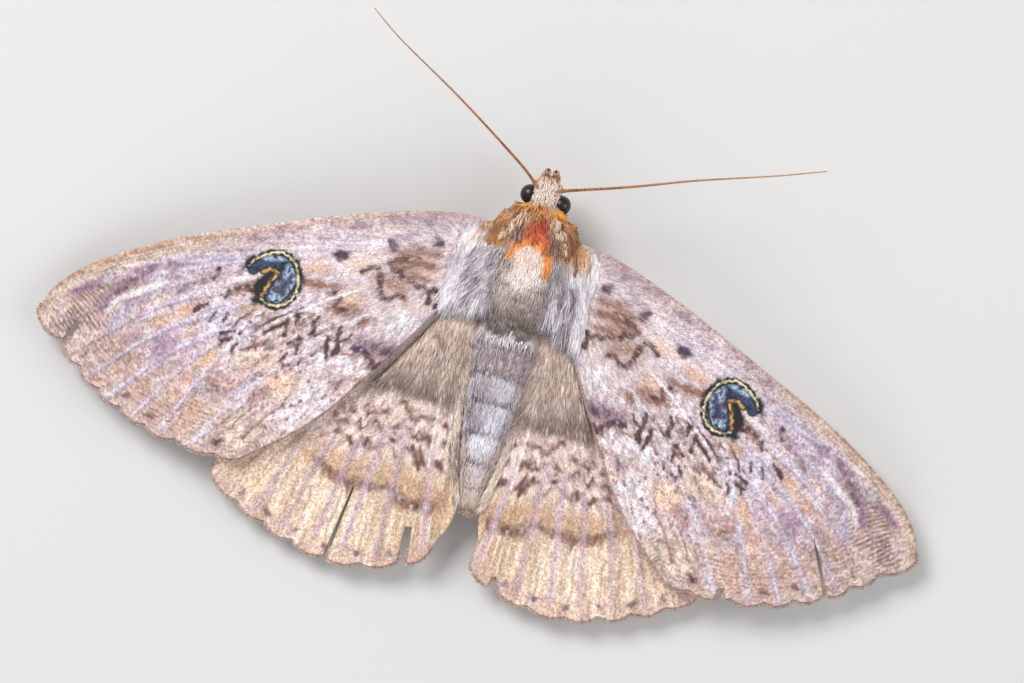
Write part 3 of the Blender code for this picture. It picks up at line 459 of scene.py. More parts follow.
def paint_forewing(spots):
    """The forewing's colours, laid on from the ground up."""
    out, ahead = spots.T
    shaken = fray(shake(spots, 0.2, 0.8, 3), FORE_HINGE, 0.26, 5)
    sharp = shake(fray(shake(spots, 0.1, 0.8, 3), FORE_HINGE, 0.13, 5), 0.11, 0.27, 11)
    run = np.hypot(out - FORE_HINGE[0], ahead)
    turn = np.arctan2(-ahead, out - FORE_HINGE[0])
    streak = 0.5 * clouds(run, turn * 26.0, 1.1, 21) + 0.5 * cloud(run / 5.0, turn * 90.0, 1.0, 17)
    veins = near_veins(spots, FORE_VEINS[2:])
    margin = reach(spots, FORE_VALLEYS)
    costa = reach(spots, curve(FORE_COSTA, 1.0))
    outer = ramp(run - 17.0, 8.0)
    paint = np.tile(LILAC, (len(spots), 1))
    paint = lay(paint, 0.5 + 0.6 * clouds(out, ahead, 4.0, 31), PEACH)
    paint = lay(paint, 0.45 * ramp(clouds(out, ahead, 2.6, 43) * 1.6), ROSE)
    paint = lay(paint, outer * ramp(veins - 0.35, 0.7) * (0.45 + 0.5 * clouds(out, ahead, 2.0, 33)),
                ink(218, 178, 150))
    paint = lay(paint, ramp(run - 23.0, 5.0) * (0.45 + 0.4 * clouds(out, ahead, 2.4, 45)),
                ink(186, 152, 158))
    paint = lay(paint, outer * np.clip(0.75 - veins, 0, 0.75) * (1.2 + 0.5 * streak), ink(206, 192, 218))
    paint = lay(paint, 0.6 * ramp(streak * 1.3), ink(250, 238, 236))
    paint = lay(paint, 0.4 * ramp(-streak * 1.4 - 0.1), ink(176, 136, 140))
    grit = clouds(run / 0.7, turn * 45.0, 1.0, 57, 2)
    paint = lay(paint, (0.25 + 0.3 * outer) * ramp(grit * 2.2 - 0.1), ink(150, 112, 122))
    paint = lay(paint, (0.35 + 0.1 * outer) * ramp(-grit * 2.2 - 0.1), ink(252, 242, 240))
    for colour, middle, size, tilt, strength in FORE_WASHES:
        cover = strength * (0.85 + 0.6 * streak - 0.3 * grit) * blot(shaken, middle, size, tilt, 0.8)
        paint = lay(paint, cover, colour)
    paint = paint * (1.0 + 0.44 * grit + 0.3 * streak)[:, None]
    apex = ramp(out - 30.5 + 0.3 * (ahead + 14.0), 3.0) * ramp(-ahead - 10.5, 2.5)
    rim_band = ramp(5.0 - margin, 2.0)
    ripple = np.cos(2.0 * math.pi * (margin + 0.4 * clouds(turn * 18.0, run / 2.0, 1.0, 51)) / 0.38)
    net = ramp(0.8 * ripple + 0.9 * cloud(turn * 45.0, run / 0.6, 1.0, 53))
    paint = lay(paint, 0.75 * apex, ink(176, 144, 134))
    paint = lay(paint, 0.55 * apex * (1.0 - net), ink(226, 200, 188))
    paint = lay(paint, 0.75 * apex * net, ink(122, 90, 82))
    paint = lay(paint, rim_band * (1.0 - apex) * ramp(veins * 2.0) * 0.5, ink(216, 180, 158))
    paint = lay(paint, rim_band * (1.0 - apex) * net * 0.55, ink(146, 106, 88))
    for k, vein in enumerate(FORE_VEINS):
        line = curve(vein, 1.5)
        start = 0.25 if k in (0, 1) else 0.4
        fade = start + 0.5 * cloud(run, turn * 20, 1.2, 60 + k)
        fade = ramp(run / 6.0) * fade * (1.0 - 0.7 * apex)
        paint = lay(paint, fade * stroke(spots, line, 0.28, 0.25), VEIN)
        if k > 1:
            beside = stroke(spots + np.array((0.0, 0.3)), line, 0.12, 0.12)
            paint = lay(paint, 0.35 * outer * beside, ink(150, 124, 140))
    paint = lay(paint, 0.6 * ramp(1.9 - costa) * (0.7 + 0.5 * streak), ink(224, 202, 196))
    pepper = clouds(out, ahead, 0.34, 75, 2)
    paint = lay(paint, 0.5 * ramp(2.6 - costa) * ramp(pepper - 0.15, 0.3), MAUVE)
    tooth = np.abs((turn * 9.0) % 1.0 - 0.5)
    wave = np.cos(2.0 * math.pi * (run + 2.2 * tooth + 0.5 * clouds(out, ahead, 1.6, 47)) / 1.7)
    zone = ramp(1.2 - np.abs(run - 14.0) / 7.0) * ramp(costa - 4.0, 3.0)
    paint = lay(paint, 0.75 * zone * ramp(wave - 0.35, 0.4) * (0.6 + 1.0 * streak), ink(150, 106, 104))
    bars = np.cos(2.0 * math.pi * (ahead + 0.22 * out + 0.25 * np.cos(out * 2.6)
                                   + 0.25 * clouds(out, ahead, 1.2, 49)) / 1.1)
    bars = ramp(bars * 1.2 - 0.2 + 0.8 * streak) * blot(shaken, (8.9, -2.9), (4.6, 4.2), -25, 1.2)
    paint = lay(paint, 0.8 * bars, ink(134, 96, 82))
    for colour, middle, size, tilt, strength in FORE_BLOTS:
        paint = lay(paint, strength * (1.0 + 0.25 * streak) * blot(shaken, middle, size, tilt, 0.3), colour)
    for colour, width, strength, line in FORE_STROKES:
        halo = stroke(shaken, line, width * 2.2, 0.5)
        paint = lay(paint, 0.35 * strength * (colour[0] < 0.3) * halo, BROWN)
        if width < BROAD_STROKE:
            cover = stroke(sharp, line, width * 1.3, max(0.16, 0.45 * width))
            force = 1.6 + 1.5 * streak
        else:
            cover = stroke(sharp, line, width, max(0.16, 0.65 * width))
            force = 1.6 + 1.8 * streak - 0.5 * grit
        paint = lay(paint, strength * force * cover, colour)
    edge_line = np.array(curve(FORE_COSTA, 1.0))
    tip = ramp(out - 22.0, 8.0)
    paint = lay(paint, tip * 0.9 * ramp(1.25 - costa, 0.4), ink(216, 190, 170))
    for shift, dark in ((0.2, 0.8), (0.5, 0.5), (0.8, 0.6)):
        fine = stroke(spots, edge_line - (0.4 * shift, 0.9 * shift), 0.12, 0.1)
        paint = lay(paint, (0.2 + 0.8 * tip) * dark * fine * (0.7 + 0.6 * cloud(run, turn, 1.4, 79)),
                    ink(142, 100, 76))
    paint = lay(paint, (0.45 + 0.3 * tip) * ramp(0.32 - costa, 0.15), ORANGE)
    speckle = clouds(run / 0.5, turn * 60.0, 1.0, 71, 2)
    field = ramp(1.2 - np.abs(run - 20.0) / 6.0) * ramp(-ahead - 8.0, 2.0)
    field = np.maximum(field, 0.8 * blot(spots, (12.8, -15.0), (4.5, 2.4), 0, 1.0))
    paint = lay(paint, field * 0.75 * ramp(speckle - 0.38, 0.15), PLUM)
    paint = lay(paint, 0.35 * ramp(speckle - 0.3, 0.25), ink(150, 112, 118))
    paint = lay(paint, 0.3 * ramp(-speckle - 0.3, 0.3), WHITE)
    paint = lay(paint, 0.35 * ramp(0.5 - margin, 0.3), ink(222, 196, 184))
    return paint_eyespot(paint, spots)


print("forewing marks:", len(FORE_STROKES), "strokes,", len(FORE_WASHES) + len(FORE_BLOTS), "blots")

# %% [markdown]
# ## The hindwing's pattern
#
# The hindwing is tan, with lilac stripes down its veins, rows of brown dots across its middle and one wavy
# brown band. Its rows follow the wing's own curve, so most of them are drawn by a loop.

# %% Veins, outline and marks of the right hindwing
HIND_COSTA = ((7.4, -3.6), (12.0, -9.0), (17.8, -15.6), (21.6, -20.6), (22.4, -24.0))
HIND_VALLEYS = ((22.4, -24.0), (19.6, -26.0), (17.0, -27.2), (14.2, -28.2), (11.4, -29.0),
                (8.1, -28.9), (5.0, -28.1), (2.4, -26.8))
HIND_EDGE = (-24.4, -22.4, -20.6, -18.6, -16.2, -13.6, -11.0, -8.4, -6.0)
HIND_VEINS = (
    ((5.2, -4.0), (13.5, -12.0), (22.0, -23.7)),
    ((4.8, -4.4), (12.5, -13.2), (20.8, -25.0)),
    ((11.2, -12.0), (14.8, -18.6), (18.2, -26.8)),
    ((10.2, -13.2), (13.3, -20.0), (15.6, -28.0)),
    ((8.9, -13.8), (11.2, -21.0), (12.8, -28.9)),
    ((8.2, -12.4), (9.3, -20.5), (9.8, -29.1)),
    ((6.9, -9.6), (7.2, -19.0), (6.7, -28.5)),
    ((4.4, -6.0), (4.8, -17.0), (3.9, -27.2)),
    ((4.1, -7.0), (3.5, -15.5), (2.5, -24.5)),
)
HIND_STRIPES = (
    ((6.6, -16.0), (6.6, -20.0), (6.8, -28.2)), ((8.2, -17.0), (8.9, -21.5), (9.8, -28.2)),
    ((10.3, -18.5), (11.2, -22.0), (12.4, -27.4)), ((12.6, -18.8), (13.8, -22.0), (15.3, -27.3)),
    ((15.6, -20.4), (17.0, -24.0), (18.0, -26.4)), ((4.0, -17.5), (3.6, -20.5), (3.0, -26.5)),
)
# Each dot of the rows: its middle, its length and its width
HIND_DOTS = (
    (7.3, -14.5, 1.1, 0.7), (6.8, -14.9, 0.6, 0.5), (3.3, -15.6, 0.9, 0.9), (4.5, -15.3, 0.6, 0.4),
    (5.6, -15.4, 1.0, 0.5), (6.4, -15.3, 0.6, 0.6), (8.7, -15.4, 0.8, 0.6), (9.9, -15.8, 1.0, 0.7),
    (10.4, -15.2, 0.5, 0.5), (11.4, -16.0, 0.8, 0.6), (2.8, -17.3, 1.0, 0.8), (4.7, -17.2, 1.3, 1.1),
    (5.6, -17.1, 0.7, 0.7), (6.4, -16.3, 0.6, 0.5), (7.5, -16.4, 0.8, 0.6), (9.1, -16.7, 1.0, 0.6),
    (10.5, -17.0, 1.0, 0.7), (11.9, -17.2, 0.9, 0.6), (3.1, -19.2, 1.0, 1.3), (4.8, -19.0, 1.5, 1.4),
    (5.7, -18.5, 0.9, 0.8), (7.6, -17.8, 0.7, 0.9), (8.3, -18.4, 0.6, 0.6), (9.7, -18.5, 1.1, 1.0),
    (11.2, -18.5, 1.0, 0.8), (12.3, -18.0, 0.7, 0.7), (13.4, -18.4, 0.7, 0.5), (2.9, -14.0, 0.6, 0.6),
    (12.8, -16.6, 0.6, 0.6),
)
HIND_BAND = (
    (3.0, -22.2), (4.4, -21.8), (6.6, -21.0), (9.0, -21.0), (11.0, -20.9), (13.0, -20.4), (15.0, -19.8),
)
HIND_WAVES = (
    (3.2, -22.8), (4.5, -22.9), (5.5, -22.7), (6.2, -21.9), (7.6, -21.9), (8.3, -22.3), (9.1, -21.9),
    (10.3, -22.6), (11.2, -21.8), (12.0, -21.9), (12.8, -21.2), (13.6, -20.8),
)


def paint_hindwing(spots):
    """The hindwing's colours, laid on from the ground up."""
    out, ahead = spots.T
    base = np.array((5.5, 3.0))
    shaken = fray(shake(spots, 0.25, 0.9, 13), base, 0.3, 15)
    run = np.hypot(*(spots - base).T)
    turn = np.arctan2(out - base[0], base[1] - ahead)
    streak = 0.5 * clouds(turn * 60.0, run / 2.5, 1.0, 23) + 0.5 * cloud(turn * 120.0, run / 4.0, 1.0, 27)
    paint = np.tile(ink(244, 222, 208), (len(spots), 1))
    paint = lay(paint, 0.4 + 0.5 * clouds(out, ahead, 3.0, 91), ink(226, 200, 196))
    paint = lay(paint, ramp(-ahead - 18.5, 2.5) * 0.9, ink(232, 202, 172))
    paint = lay(paint, ramp(-ahead - 18.5, 2.0) * np.clip(9.0 - out, 0, 5.0) * 0.15, ink(210, 176, 144))
    hair = ramp(ahead + 13.6 + 1.1 * streak, 1.4)
    paint = lay(paint, hair * 0.95, ink(196, 174, 160))
    paint = lay(paint, hair * ramp(streak * 1.5) * 0.8, ink(150, 124, 112))
    paint = lay(paint, hair * ramp(-streak * 1.4 - 0.1) * 0.8, ink(228, 212, 200))
    band = stroke(shaken, ((3.0, -13.0), (5.2, -12.8), (7.4, -12.1), (9.0, -12.4), (10.2, -13.6)), 1.5, 0.9)
    paint = lay(paint, 1.0 * band * (0.95 + 0.5 * streak), ink(106, 80, 76))
    paint = lay(paint, 0.6 * ramp(streak * 1.3), ink(248, 232, 214))
    paint = lay(paint, 0.5 * ramp(-streak * 1.4 - 0.1), ink(182, 146, 122))
    paint = lay(paint, 0.75 * stroke(shaken, HIND_BAND, 2.3, 0.9) * (0.8 + 0.5 * streak),
                ink(192, 150, 114))
    teeth = 0.3 * np.cos(out * 5.0) + 0.25 * cloud(out, ahead, 1.1, 97)
    for level, dark in ((-14.7, 0.5), (-15.7, 0.6), (-17.1, 0.65), (-18.7, 0.75)):
        row = ramp(1.2 - np.abs(shaken[:, 1] - level - teeth + 0.05 * (out - 6.0)) / 0.34)
        within = ramp(13.6 - out, 1.0) * ramp(0.6 + 1.5 * cloud(out, ahead, 0.9, 99))
        paint = lay(paint, 1.2 * dark * row * within * (0.9 + 0.4 * streak), ink(132, 94, 84))
    for x, y, wide, tall in HIND_DOTS:
        paint = lay(paint, 0.35 * blot(shaken, (x, y), (wide + 0.5, tall + 0.3), 0, 0.4),
                    ink(172, 134, 120))
        paint = lay(paint, (0.95 + 0.4 * streak) * blot(shaken, (x, y), (wide, 0.7 * tall), 0, 0.3),
                    ink(100, 66, 62))
    paint = lay(paint, 0.9 * stroke(shaken, HIND_WAVES, 1.0, 0.6) * (0.9 + 0.6 * streak), ink(122, 84, 72))
    for x, y in ((6.5, -22.1), (8.9, -22.0), (10.4, -22.7), (4.5, -22.9), (11.5, -21.8)):
        paint = lay(paint, 0.6 * blot(shaken, (x, y), (0.9, 0.8), 0, 0.3), ink(112, 78, 72))
    for line in HIND_STRIPES:
        paint = lay(paint, (0.75 + 0.5 * streak) * stroke(spots, curve(line, 1.0), 0.5, 0.45),
                    ink(196, 168, 184))
    # Painted shade and highlight: each fold line is a dark line of painted shade with a pale line of painted
    # highlight beside it.
    for x in (5.0, 8.2, 11.0, 13.4, 14.9, 16.6):
        fold = ((x, -23.0), (x + 0.03 * (x - 5.5), -25.0), (x + 0.09 * (x - 5.5), -27.6))
        paint = lay(paint, 0.55 * stroke(shaken, fold, 0.16, 0.15), ink(158, 116, 92))
        paint = lay(paint, 0.5 * stroke(spots + (0.35, 0.0), fold, 0.2, 0.15), ink(248, 236, 218))
    paint = lay(paint, 0.85 * stroke(spots, ((4.3, -9.0), (4.2, -14.0), (4.0, -19.4)), 0.2, 0.16),
                ink(246, 236, 226))
    paint = lay(paint, 0.7 * stroke(spots, ((3.4, -9.7), (3.0, -14.0), (2.4, -20.9)), 0.2, 0.16),
                ink(240, 228, 214))
    margin = reach(spots, HIND_VALLEYS)
    paint = lay(paint, ramp(1.6 - margin) * (0.4 + 0.4 * clouds(out, ahead, 0.6, 93)), ink(204, 164, 158))
    for x, y in ((5.4, -27.5), (8.4, -28.0), (11.4, -28.1), (14.1, -27.4), (16.8, -26.5), (19.3, -25.2)):
        paint = lay(paint, 0.8 * blot(shaken, (x, y), (0.7, 0.6), 0, 0.3), PLUM)
    speckle = clouds(turn * 70.0, run / 0.5, 1.0, 95, 2)
    paint = lay(paint, 0.35 * ramp(speckle - 0.3, 0.25), ink(164, 124, 106))
    paint = lay(paint, 0.3 * ramp(-speckle - 0.3, 0.25), WHITE)
    return paint * (1.04 + 0.25 * streak + 0.2 * speckle)[:, None]


print("hindwing dots:", len(HIND_DOTS))

# %% [markdown]
# ## Wing materials
#
# A wing looks powdery because it is shingled with scales about a tenth of a millimetre long. They are too
# many to model, so one node group makes them as cells along the wing's own lie, a map of distance and turn
# round its hinge. Each cell is a little lighter or darker, and its edge is raised for the bump.


# %% The scale group and the materials
def link(tree, a, output, b, into):
    """Join an output to an input."""
    tree.links.new(a.outputs[output], b.inputs[into])


def node(tree, kind, values=()):
    """A new shader node with some of its plain inputs set."""
    made = tree.nodes.new("ShaderNode" + kind)
    for name, value in dict(values).items():
        made.inputs[name].default_value = value
    return made


def attribute(tree, name):
    """A node that reads a value stored in the mesh."""
    made = node(tree, "Attribute")
    made.attribute_name = name
    return made


def bump_of(tree, source, output, strength, distance, shader):
    """Raise a shader's surface by another node's value."""
    bump = node(tree, "Bump", {"Strength": strength, "Distance": distance})
    link(tree, source, output, bump, "Height")
    link(tree, bump, "Normal", shader, "Normal")
    return bump


def speck_layer(tree, mask, channel, low, dust, colour):
    """A few cells of the map, those above low in one channel, mixed towards a colour."""
    chosen = node(tree, "MapRange", {"From Min": low, "From Max": 0.97})
    link(tree, dust, "Dust", chosen, "To Max")
    link(tree, mask, channel, chosen, "Value")
    mixed = node(tree, "Mix")
    mixed.data_type = "RGBA"
    mixed.inputs["B"].default_value = colour
    link(tree, chosen, "Result", mixed, "Factor")
    return mixed


# The places of a Mix node's colour sockets, which share their names with the others
MIX_FIRST, MIX_RESULT = 6, 2


def scale_group():
    """Powdery scales: cells along the lie that vary the colour and raise their edges."""
    tree = bpy.data.node_groups.new("powder scales", "ShaderNodeTree")
    for name, kind in (("Color", "Color"), ("Lie", "Vector"), ("Change", "Float"), ("Dust", "Float")):
        tree.interface.new_socket(name, in_out="INPUT", socket_type="NodeSocket" + kind)
    for name, kind in (("Color", "Color"), ("Height", "Float")):
        tree.interface.new_socket(name, in_out="OUTPUT", socket_type="NodeSocket" + kind)
    inside, outside = tree.nodes.new("NodeGroupInput"), tree.nodes.new("NodeGroupOutput")
    cells = node(tree, "TexVoronoi", {"Scale": 1.0})
    cells.voronoi_dimensions = "2D"
    link(tree, inside, "Lie", cells, "Vector")
    parts = node(tree, "SeparateColor")
    link(tree, cells, "Color", parts, "Color")
    shade = node(tree, "MapRange", {"To Min": -0.5, "To Max": 0.5})
    link(tree, parts, "Red", shade, "Value")
    amount = node(tree, "Math", {2: 1.0})
    amount.operation = "MULTIPLY_ADD"
    link(tree, shade, "Result", amount, 0)
    link(tree, inside, "Change", amount, 1)
    tint = node(tree, "VectorMath")
    tint.operation = "SCALE"
    link(tree, inside, "Color", tint, 0)
    link(tree, amount, "Value", tint, "Scale")
    dark = speck_layer(tree, parts, "Green", 0.9, inside, (0.16, 0.09, 0.08, 1.0))
    link(tree, tint, "Vector", dark, MIX_FIRST)
    pale = speck_layer(tree, parts, "Blue", 0.88, inside, (0.86, 0.8, 0.82, 1.0))
    link(tree, dark, MIX_RESULT, pale, MIX_FIRST)
    link(tree, pale, MIX_RESULT, outside, "Color")
    lift = node(tree, "Math")
    lift.operation = "ADD"
    link(tree, cells, "Distance", lift, 0)
    link(tree, parts, "Red", lift, 1)
    link(tree, lift, "Value", outside, "Height")
    return tree


SCALES = scale_group()


def new_material(name, roughness, sheen=0.0):
    """A material with its shader's plain values set."""
    made = bpy.data.materials.new(name)
    made.use_nodes = True
    shader = made.node_tree.nodes["Principled BSDF"]
    shader.inputs["Roughness"].default_value = roughness
    shader.inputs["Sheen Weight"].default_value = sheen
    shader.inputs["Sheen Roughness"].default_value = 0.5
    return made, made.node_tree, shader


def wing_material(name, change, strength):
    """Painted colours broken into scales, with a gloss where the mask says."""
    made, tree, shader = new_material(name, 0.6, 0.15)
    colour = attribute(tree, "pattern")
    lie = node(tree, "UVMap")
    lie.uv_map = "lie"
    size = node(tree, "Mapping", {"Scale": (6.5, 9.0, 1.0)})
    link(tree, lie, "UV", size, "Vector")
    scales = node(tree, "Group")
    scales.node_tree = SCALES
    scales.inputs["Change"].default_value = change
    link(tree, colour, "Color", scales, "Color")
    link(tree, size, "Vector", scales, "Lie")
    link(tree, scales, "Color", shader, "Base Color")
    bump_of(tree, scales, "Height", strength, 0.00004, shader)
    gloss = attribute(tree, "gloss")
    rough = node(tree, "MapRange", {"From Min": 0.4, "To Min": 0.62, "To Max": 0.24})
    link(tree, gloss, "Fac", rough, "Value")
    link(tree, rough, "Result", shader, "Roughness")
    dust = node(tree, "MapRange", {"From Max": 0.4, "To Min": 0.25, "To Max": 0.0})
    link(tree, gloss, "Fac", dust, "Value")
    link(tree, dust, "Result", scales, "Dust")
    return made


WING_TOP = wing_material("painted wing scales", 0.7, 0.6)
WING_UNDER = wing_material("pale wing underside", 0.3, 0.4)
print("materials:", WING_TOP.name, "and", WING_UNDER.name)

# %% [markdown]
# ## Wing sheets
#
# A wing is a membrane stretched over veins. Its outline is scalloped and torn, and it needs tens of
# thousands of even points to carry its fine pattern, which no grid operator can give without ragged edges.
# So the outline and an even lattice of points inside it are joined by Blender's own triangulation. The
# points are then raised: a low ridge along each vein, a shallow trough between, and a wavy margin. A
# Solidify modifier gives the sheet its thickness, with a second material below.

# %% Outlines with their tears
TEARS = {
    "forewing_left": (((37.4, -17.4), (36.2, -15.0), 0.9, 0.2),),
    "forewing_right": (((33.0, -21.2), (30.6, -16.7), 0.4, 0.09), ((24.0, -23.9), (23.9, -23.0), 1.1,
            0.25)),
    "hindwing_left": (((3.6, -28.3), (3.7, -24.9), 0.9, 0.36), ((10.4, -29.6), (9.3, -22.8), 0.4, 0.09)),
    "hindwing_right": (((4.7, -28.4), (4.6, -27.2), 0.9, 0.2),),
}


def swing(spots, hinge, degrees, scale=1.0):
    """Spots of the right wing, turned forwards about the hinge."""
    angle = math.radians(degrees)
    x, y = ((np.asarray(spots) - hinge) * scale).T
    return hinge + np.stack((x * math.cos(angle) - y * math.sin(angle), x * math.sin(angle)
                             + y * math.cos(angle)), -1)


def scallops(valleys, rise, steps=12):
    """The outer margin, a shallow bulge from each valley to the next."""
    margin = []
    for a, b in zip(np.array(valleys, float), np.array(valleys[1:], float)):
        across = b - a
        outward = np.array((-across[1], across[0])) / np.hypot(*across)
        for k in range(steps):
            t = k / steps
            margin.append(a + across * t + outward * rise * 4.0 * t * (1.0 - t))
    return margin + [np.array(valleys[-1], float)]


def tear(outline, mouth, inner, width, half_end):
    """Cut a tear into an outline: two lips at the margin and a blunt inner end."""
    outline = np.array(outline)
    nearest = int(np.argmin(np.hypot(*(outline - np.array(mouth)).T)))
    mouth, inner = outline[nearest], np.array(inner)
    along = outline[(nearest + 1) % len(outline)] - outline[nearest - 1]
    along /= np.hypot(*along)
    end = np.array((-(mouth - inner)[1], (mouth - inner)[0]))
    end *= half_end / np.hypot(*end)
    if end @ along < 0:
        end = -end
    far = np.hypot(*(outline - mouth).T) > width * 0.62
    before = [p for p, keep in zip(outline[:nearest], far[:nearest]) if keep]
    after = [p for p, keep in zip(outline[nearest:], far[nearest:]) if keep]
    lips = [mouth - along * width / 2, inner - end, inner + end, mouth + along * width / 2]
    return before + lips + after


def thorax_reach(ahead, up):
    """Half the thorax's width at a height."""
    along = min(abs(ahead + 0.3) / 5.3, 0.98)
    swell = (1.0 - along ** 2.6) ** 0.42
    rise = (up - THORAX_UP) / (THORAX_DEPTH / 2 * swell)
    return THORAX_WIDTH / 2 * swell * math.sqrt(max(0.0, 1.0 - rise * rise))


def fore_outline(name, side):
    """The forewing's outline, its root just inside the body's hair."""
    costa = curve(FORE_COSTA, 0.5)
    for k, spot in enumerate(costa):
        spot[1] += side["fore_bow"] * math.sin(math.pi * k / (len(costa) - 1))
    margin = costa[:-1] + scallops(FORE_VALLEYS, SCALLOP)[:-1] + curve(FORE_INNER, 0.5)
    outline = list(swing(margin, FORE_HINGE, side["fore_swing"], side["fore_scale"]))
    middle = BODY_SIDE * side["sign"]
    for ahead in (-2.6, -1.0, 0.8, 2.5):
        outline.append(np.array((middle + thorax_reach(ahead, HINGE_UP) - 0.05, ahead)))
    for cut in TEARS[name]:
        outline = tear(outline, *cut)
    return outline


def hind_outline(name, side):
    """The hindwing's outline, its inner edge folded along the abdomen."""
    margin = curve(HIND_COSTA, 0.5)[:-1] + scallops(HIND_VALLEYS, SCALLOP)
    outline = list(swing(margin, HIND_HINGE, side["hind_swing"]))
    for ahead in HIND_EDGE:
        clear = float(along_abdomen(ahead, 1)) + 0.4
        if ahead == HIND_EDGE[0]:
            clear += 0.5
        outline.append(np.array((float(body_side(ahead)) * side["sign"] + clear, ahead)))
    middle = BODY_SIDE * side["sign"]
    for ahead in (-4.6, -3.8, -2.9):
        outline.append(np.array((middle + thorax_reach(ahead, HINGE_UP - WING_LAP), ahead)))
    for cut in TEARS[name]:
        outline = tear(outline, *cut)
    return outline


def refine(outline, step):
    """The outline with a place at least every step."""
    line = []
    for a, b in zip(outline, outline[1:] + outline[:1]):
        count = max(1, math.ceil(float(np.hypot(*(b - a))) / step))
        line += [a + (b - a) * k / count for k in range(count)]
    return line


def inside(spots, outline):
    """Which spots lie in the outline."""
    x, y = spots.T
    crossed = np.zeros(len(spots), bool)
    for a, b in zip(outline, outline[1:] + outline[:1]):
        if a[1] != b[1]:
            spans = (a[1] > y) != (b[1] > y)
            crossed ^= spans & (x < a[0] + (b[0] - a[0]) * (y - a[1]) / (b[1] - a[1]))
    return crossed


OUTLINES = {}
for word, side in SIDES.items():
    OUTLINES["forewing_" + word] = fore_outline("forewing_" + word, side)
    OUTLINES["hindwing_" + word] = hind_outline("hindwing_" + word, side)
print({name: len(outline) for name, outline in OUTLINES.items()})


# %% Triangulate, raise and paint the sheets
def rows_of(low, high, spacing):
    """Even rows of spots over a rectangle, every other row shifted by half."""
    spots = []
    for k, y in enumerate(np.arange(low[1], high[1], spacing * 0.866)):
        x = np.arange(low[0] + 0.5 * spacing * (k % 2), high[0], spacing)
        spots.append(np.stack((x, np.full(len(x), y)), 1))
    return np.concatenate(spots)


def lattice(outline, spacing, fine=None):
    """Even triangles inside an outline, closer together in a fine patch: their spots and corners."""
    edge = refine(outline, spacing * 1.3)
    spots = rows_of(np.min(edge, 0), np.max(edge, 0), spacing)
    if fine is not None:
        middle, radius, close = fine
        spots = spots[np.hypot(*(spots - middle).T) > radius + close]
        patch = rows_of(middle - radius, middle + radius, close)
        spots = np.concatenate((spots, patch[np.hypot(*(patch - middle).T) < radius]))
    spots = spots[inside(spots, outline)]
    spots = spots[reach(spots, edge + edge[:1]) > spacing * 0.6]
    points = [Vector(p) for p in edge] + [Vector(p) for p in spots]
    ring = [(k, (k + 1) % len(edge)) for k in range(len(edge))]
    made = delaunay_2d_cdt(points, ring, [], 1, 1e-5)
    return np.array([p[:] for p in made[0]]), made[2]


def relief(spots, veins, margin, seed):
    """The wing's fine shape: ridges on the veins, troughs between, a wavy margin."""
    nearest = near_veins(spots, veins)
    ridge = 0.14 * np.exp(-(nearest / 0.2) ** 2) - 0.1 * (1.0 - np.exp(-(nearest / 0.9) ** 2))
    ripple = 0.12 * np.exp(-reach(spots, margin) / 1.6) * cloud(spots[:, 0], spots[:, 1], 1.7, seed)
    return ridge + ripple + 0.07 * clouds(spots[:, 0], spots[:, 1], 4.0, seed + 1, 2)


def set_colours(mesh, name, colours):
    """Store a colour at each point of a mesh."""
    layer = mesh.color_attributes.new(name, "FLOAT_COLOR", "POINT")
    full = np.ones((len(mesh.vertices), 4), np.float32)
    full[:, :3] = colours
    layer.data.foreach_set("color", full.ravel())


def set_values(mesh, name, values):
    """Store a number at each point of a mesh."""
    layer = mesh.attributes.new(name, "FLOAT", "POINT")
    layer.data.foreach_set("value", np.asarray(values, np.float32))


def set_map(mesh, name, places):
    """Store a flat map, given a place for each point of a mesh."""
    corners = np.zeros(len(mesh.loops), np.int32)
    mesh.loops.foreach_get("vertex_index", corners)
    layer = mesh.uv_layers.new(name=name)
    layer.data.foreach_set("uv", np.asarray(places, np.float32)[corners].ravel())


def show(name, mesh, materials, nodes=()):
    """Put a finished mesh in the scene, riding on the moth."""
    for material in materials:
        mesh.materials.append(material)
    piece = bpy.data.objects.new(name, mesh)
    bpy.context.scene.collection.objects.link(piece)
    mesh.polygons.foreach_set("use_smooth", [True] * len(mesh.polygons))
    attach(piece, "root")
    if nodes:
        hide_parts(*nodes)
    return piece


FINE_RADIUS, FINE_SPACING = 2.9, 0.07  # the closer points under the eyespot
LIE_START, LIE_TURN = np.array((3.0, 0.0)), 18.0  # the lie map's start behind the hinge, and its turn
WINGS = {
    "forewing": (FORE_VEINS, FORE_VALLEYS, paint_forewing, wing_up, FORE_HINGE, 0.136),
    "hindwing": (HIND_VEINS, HIND_VALLEYS, paint_hindwing, hind_up, HIND_HINGE, 0.138),
}


def home(spots, wing, side):
    """Where a spot of either wing lies on the right wing, whose pattern it wears."""
    if wing == "forewing":
        back = FORE_HINGE + (spots - FORE_HINGE) / side["fore_scale"]
        return swing(back, FORE_HINGE, -side["fore_swing"])
    return swing(spots, HIND_HINGE, -side["hind_swing"])


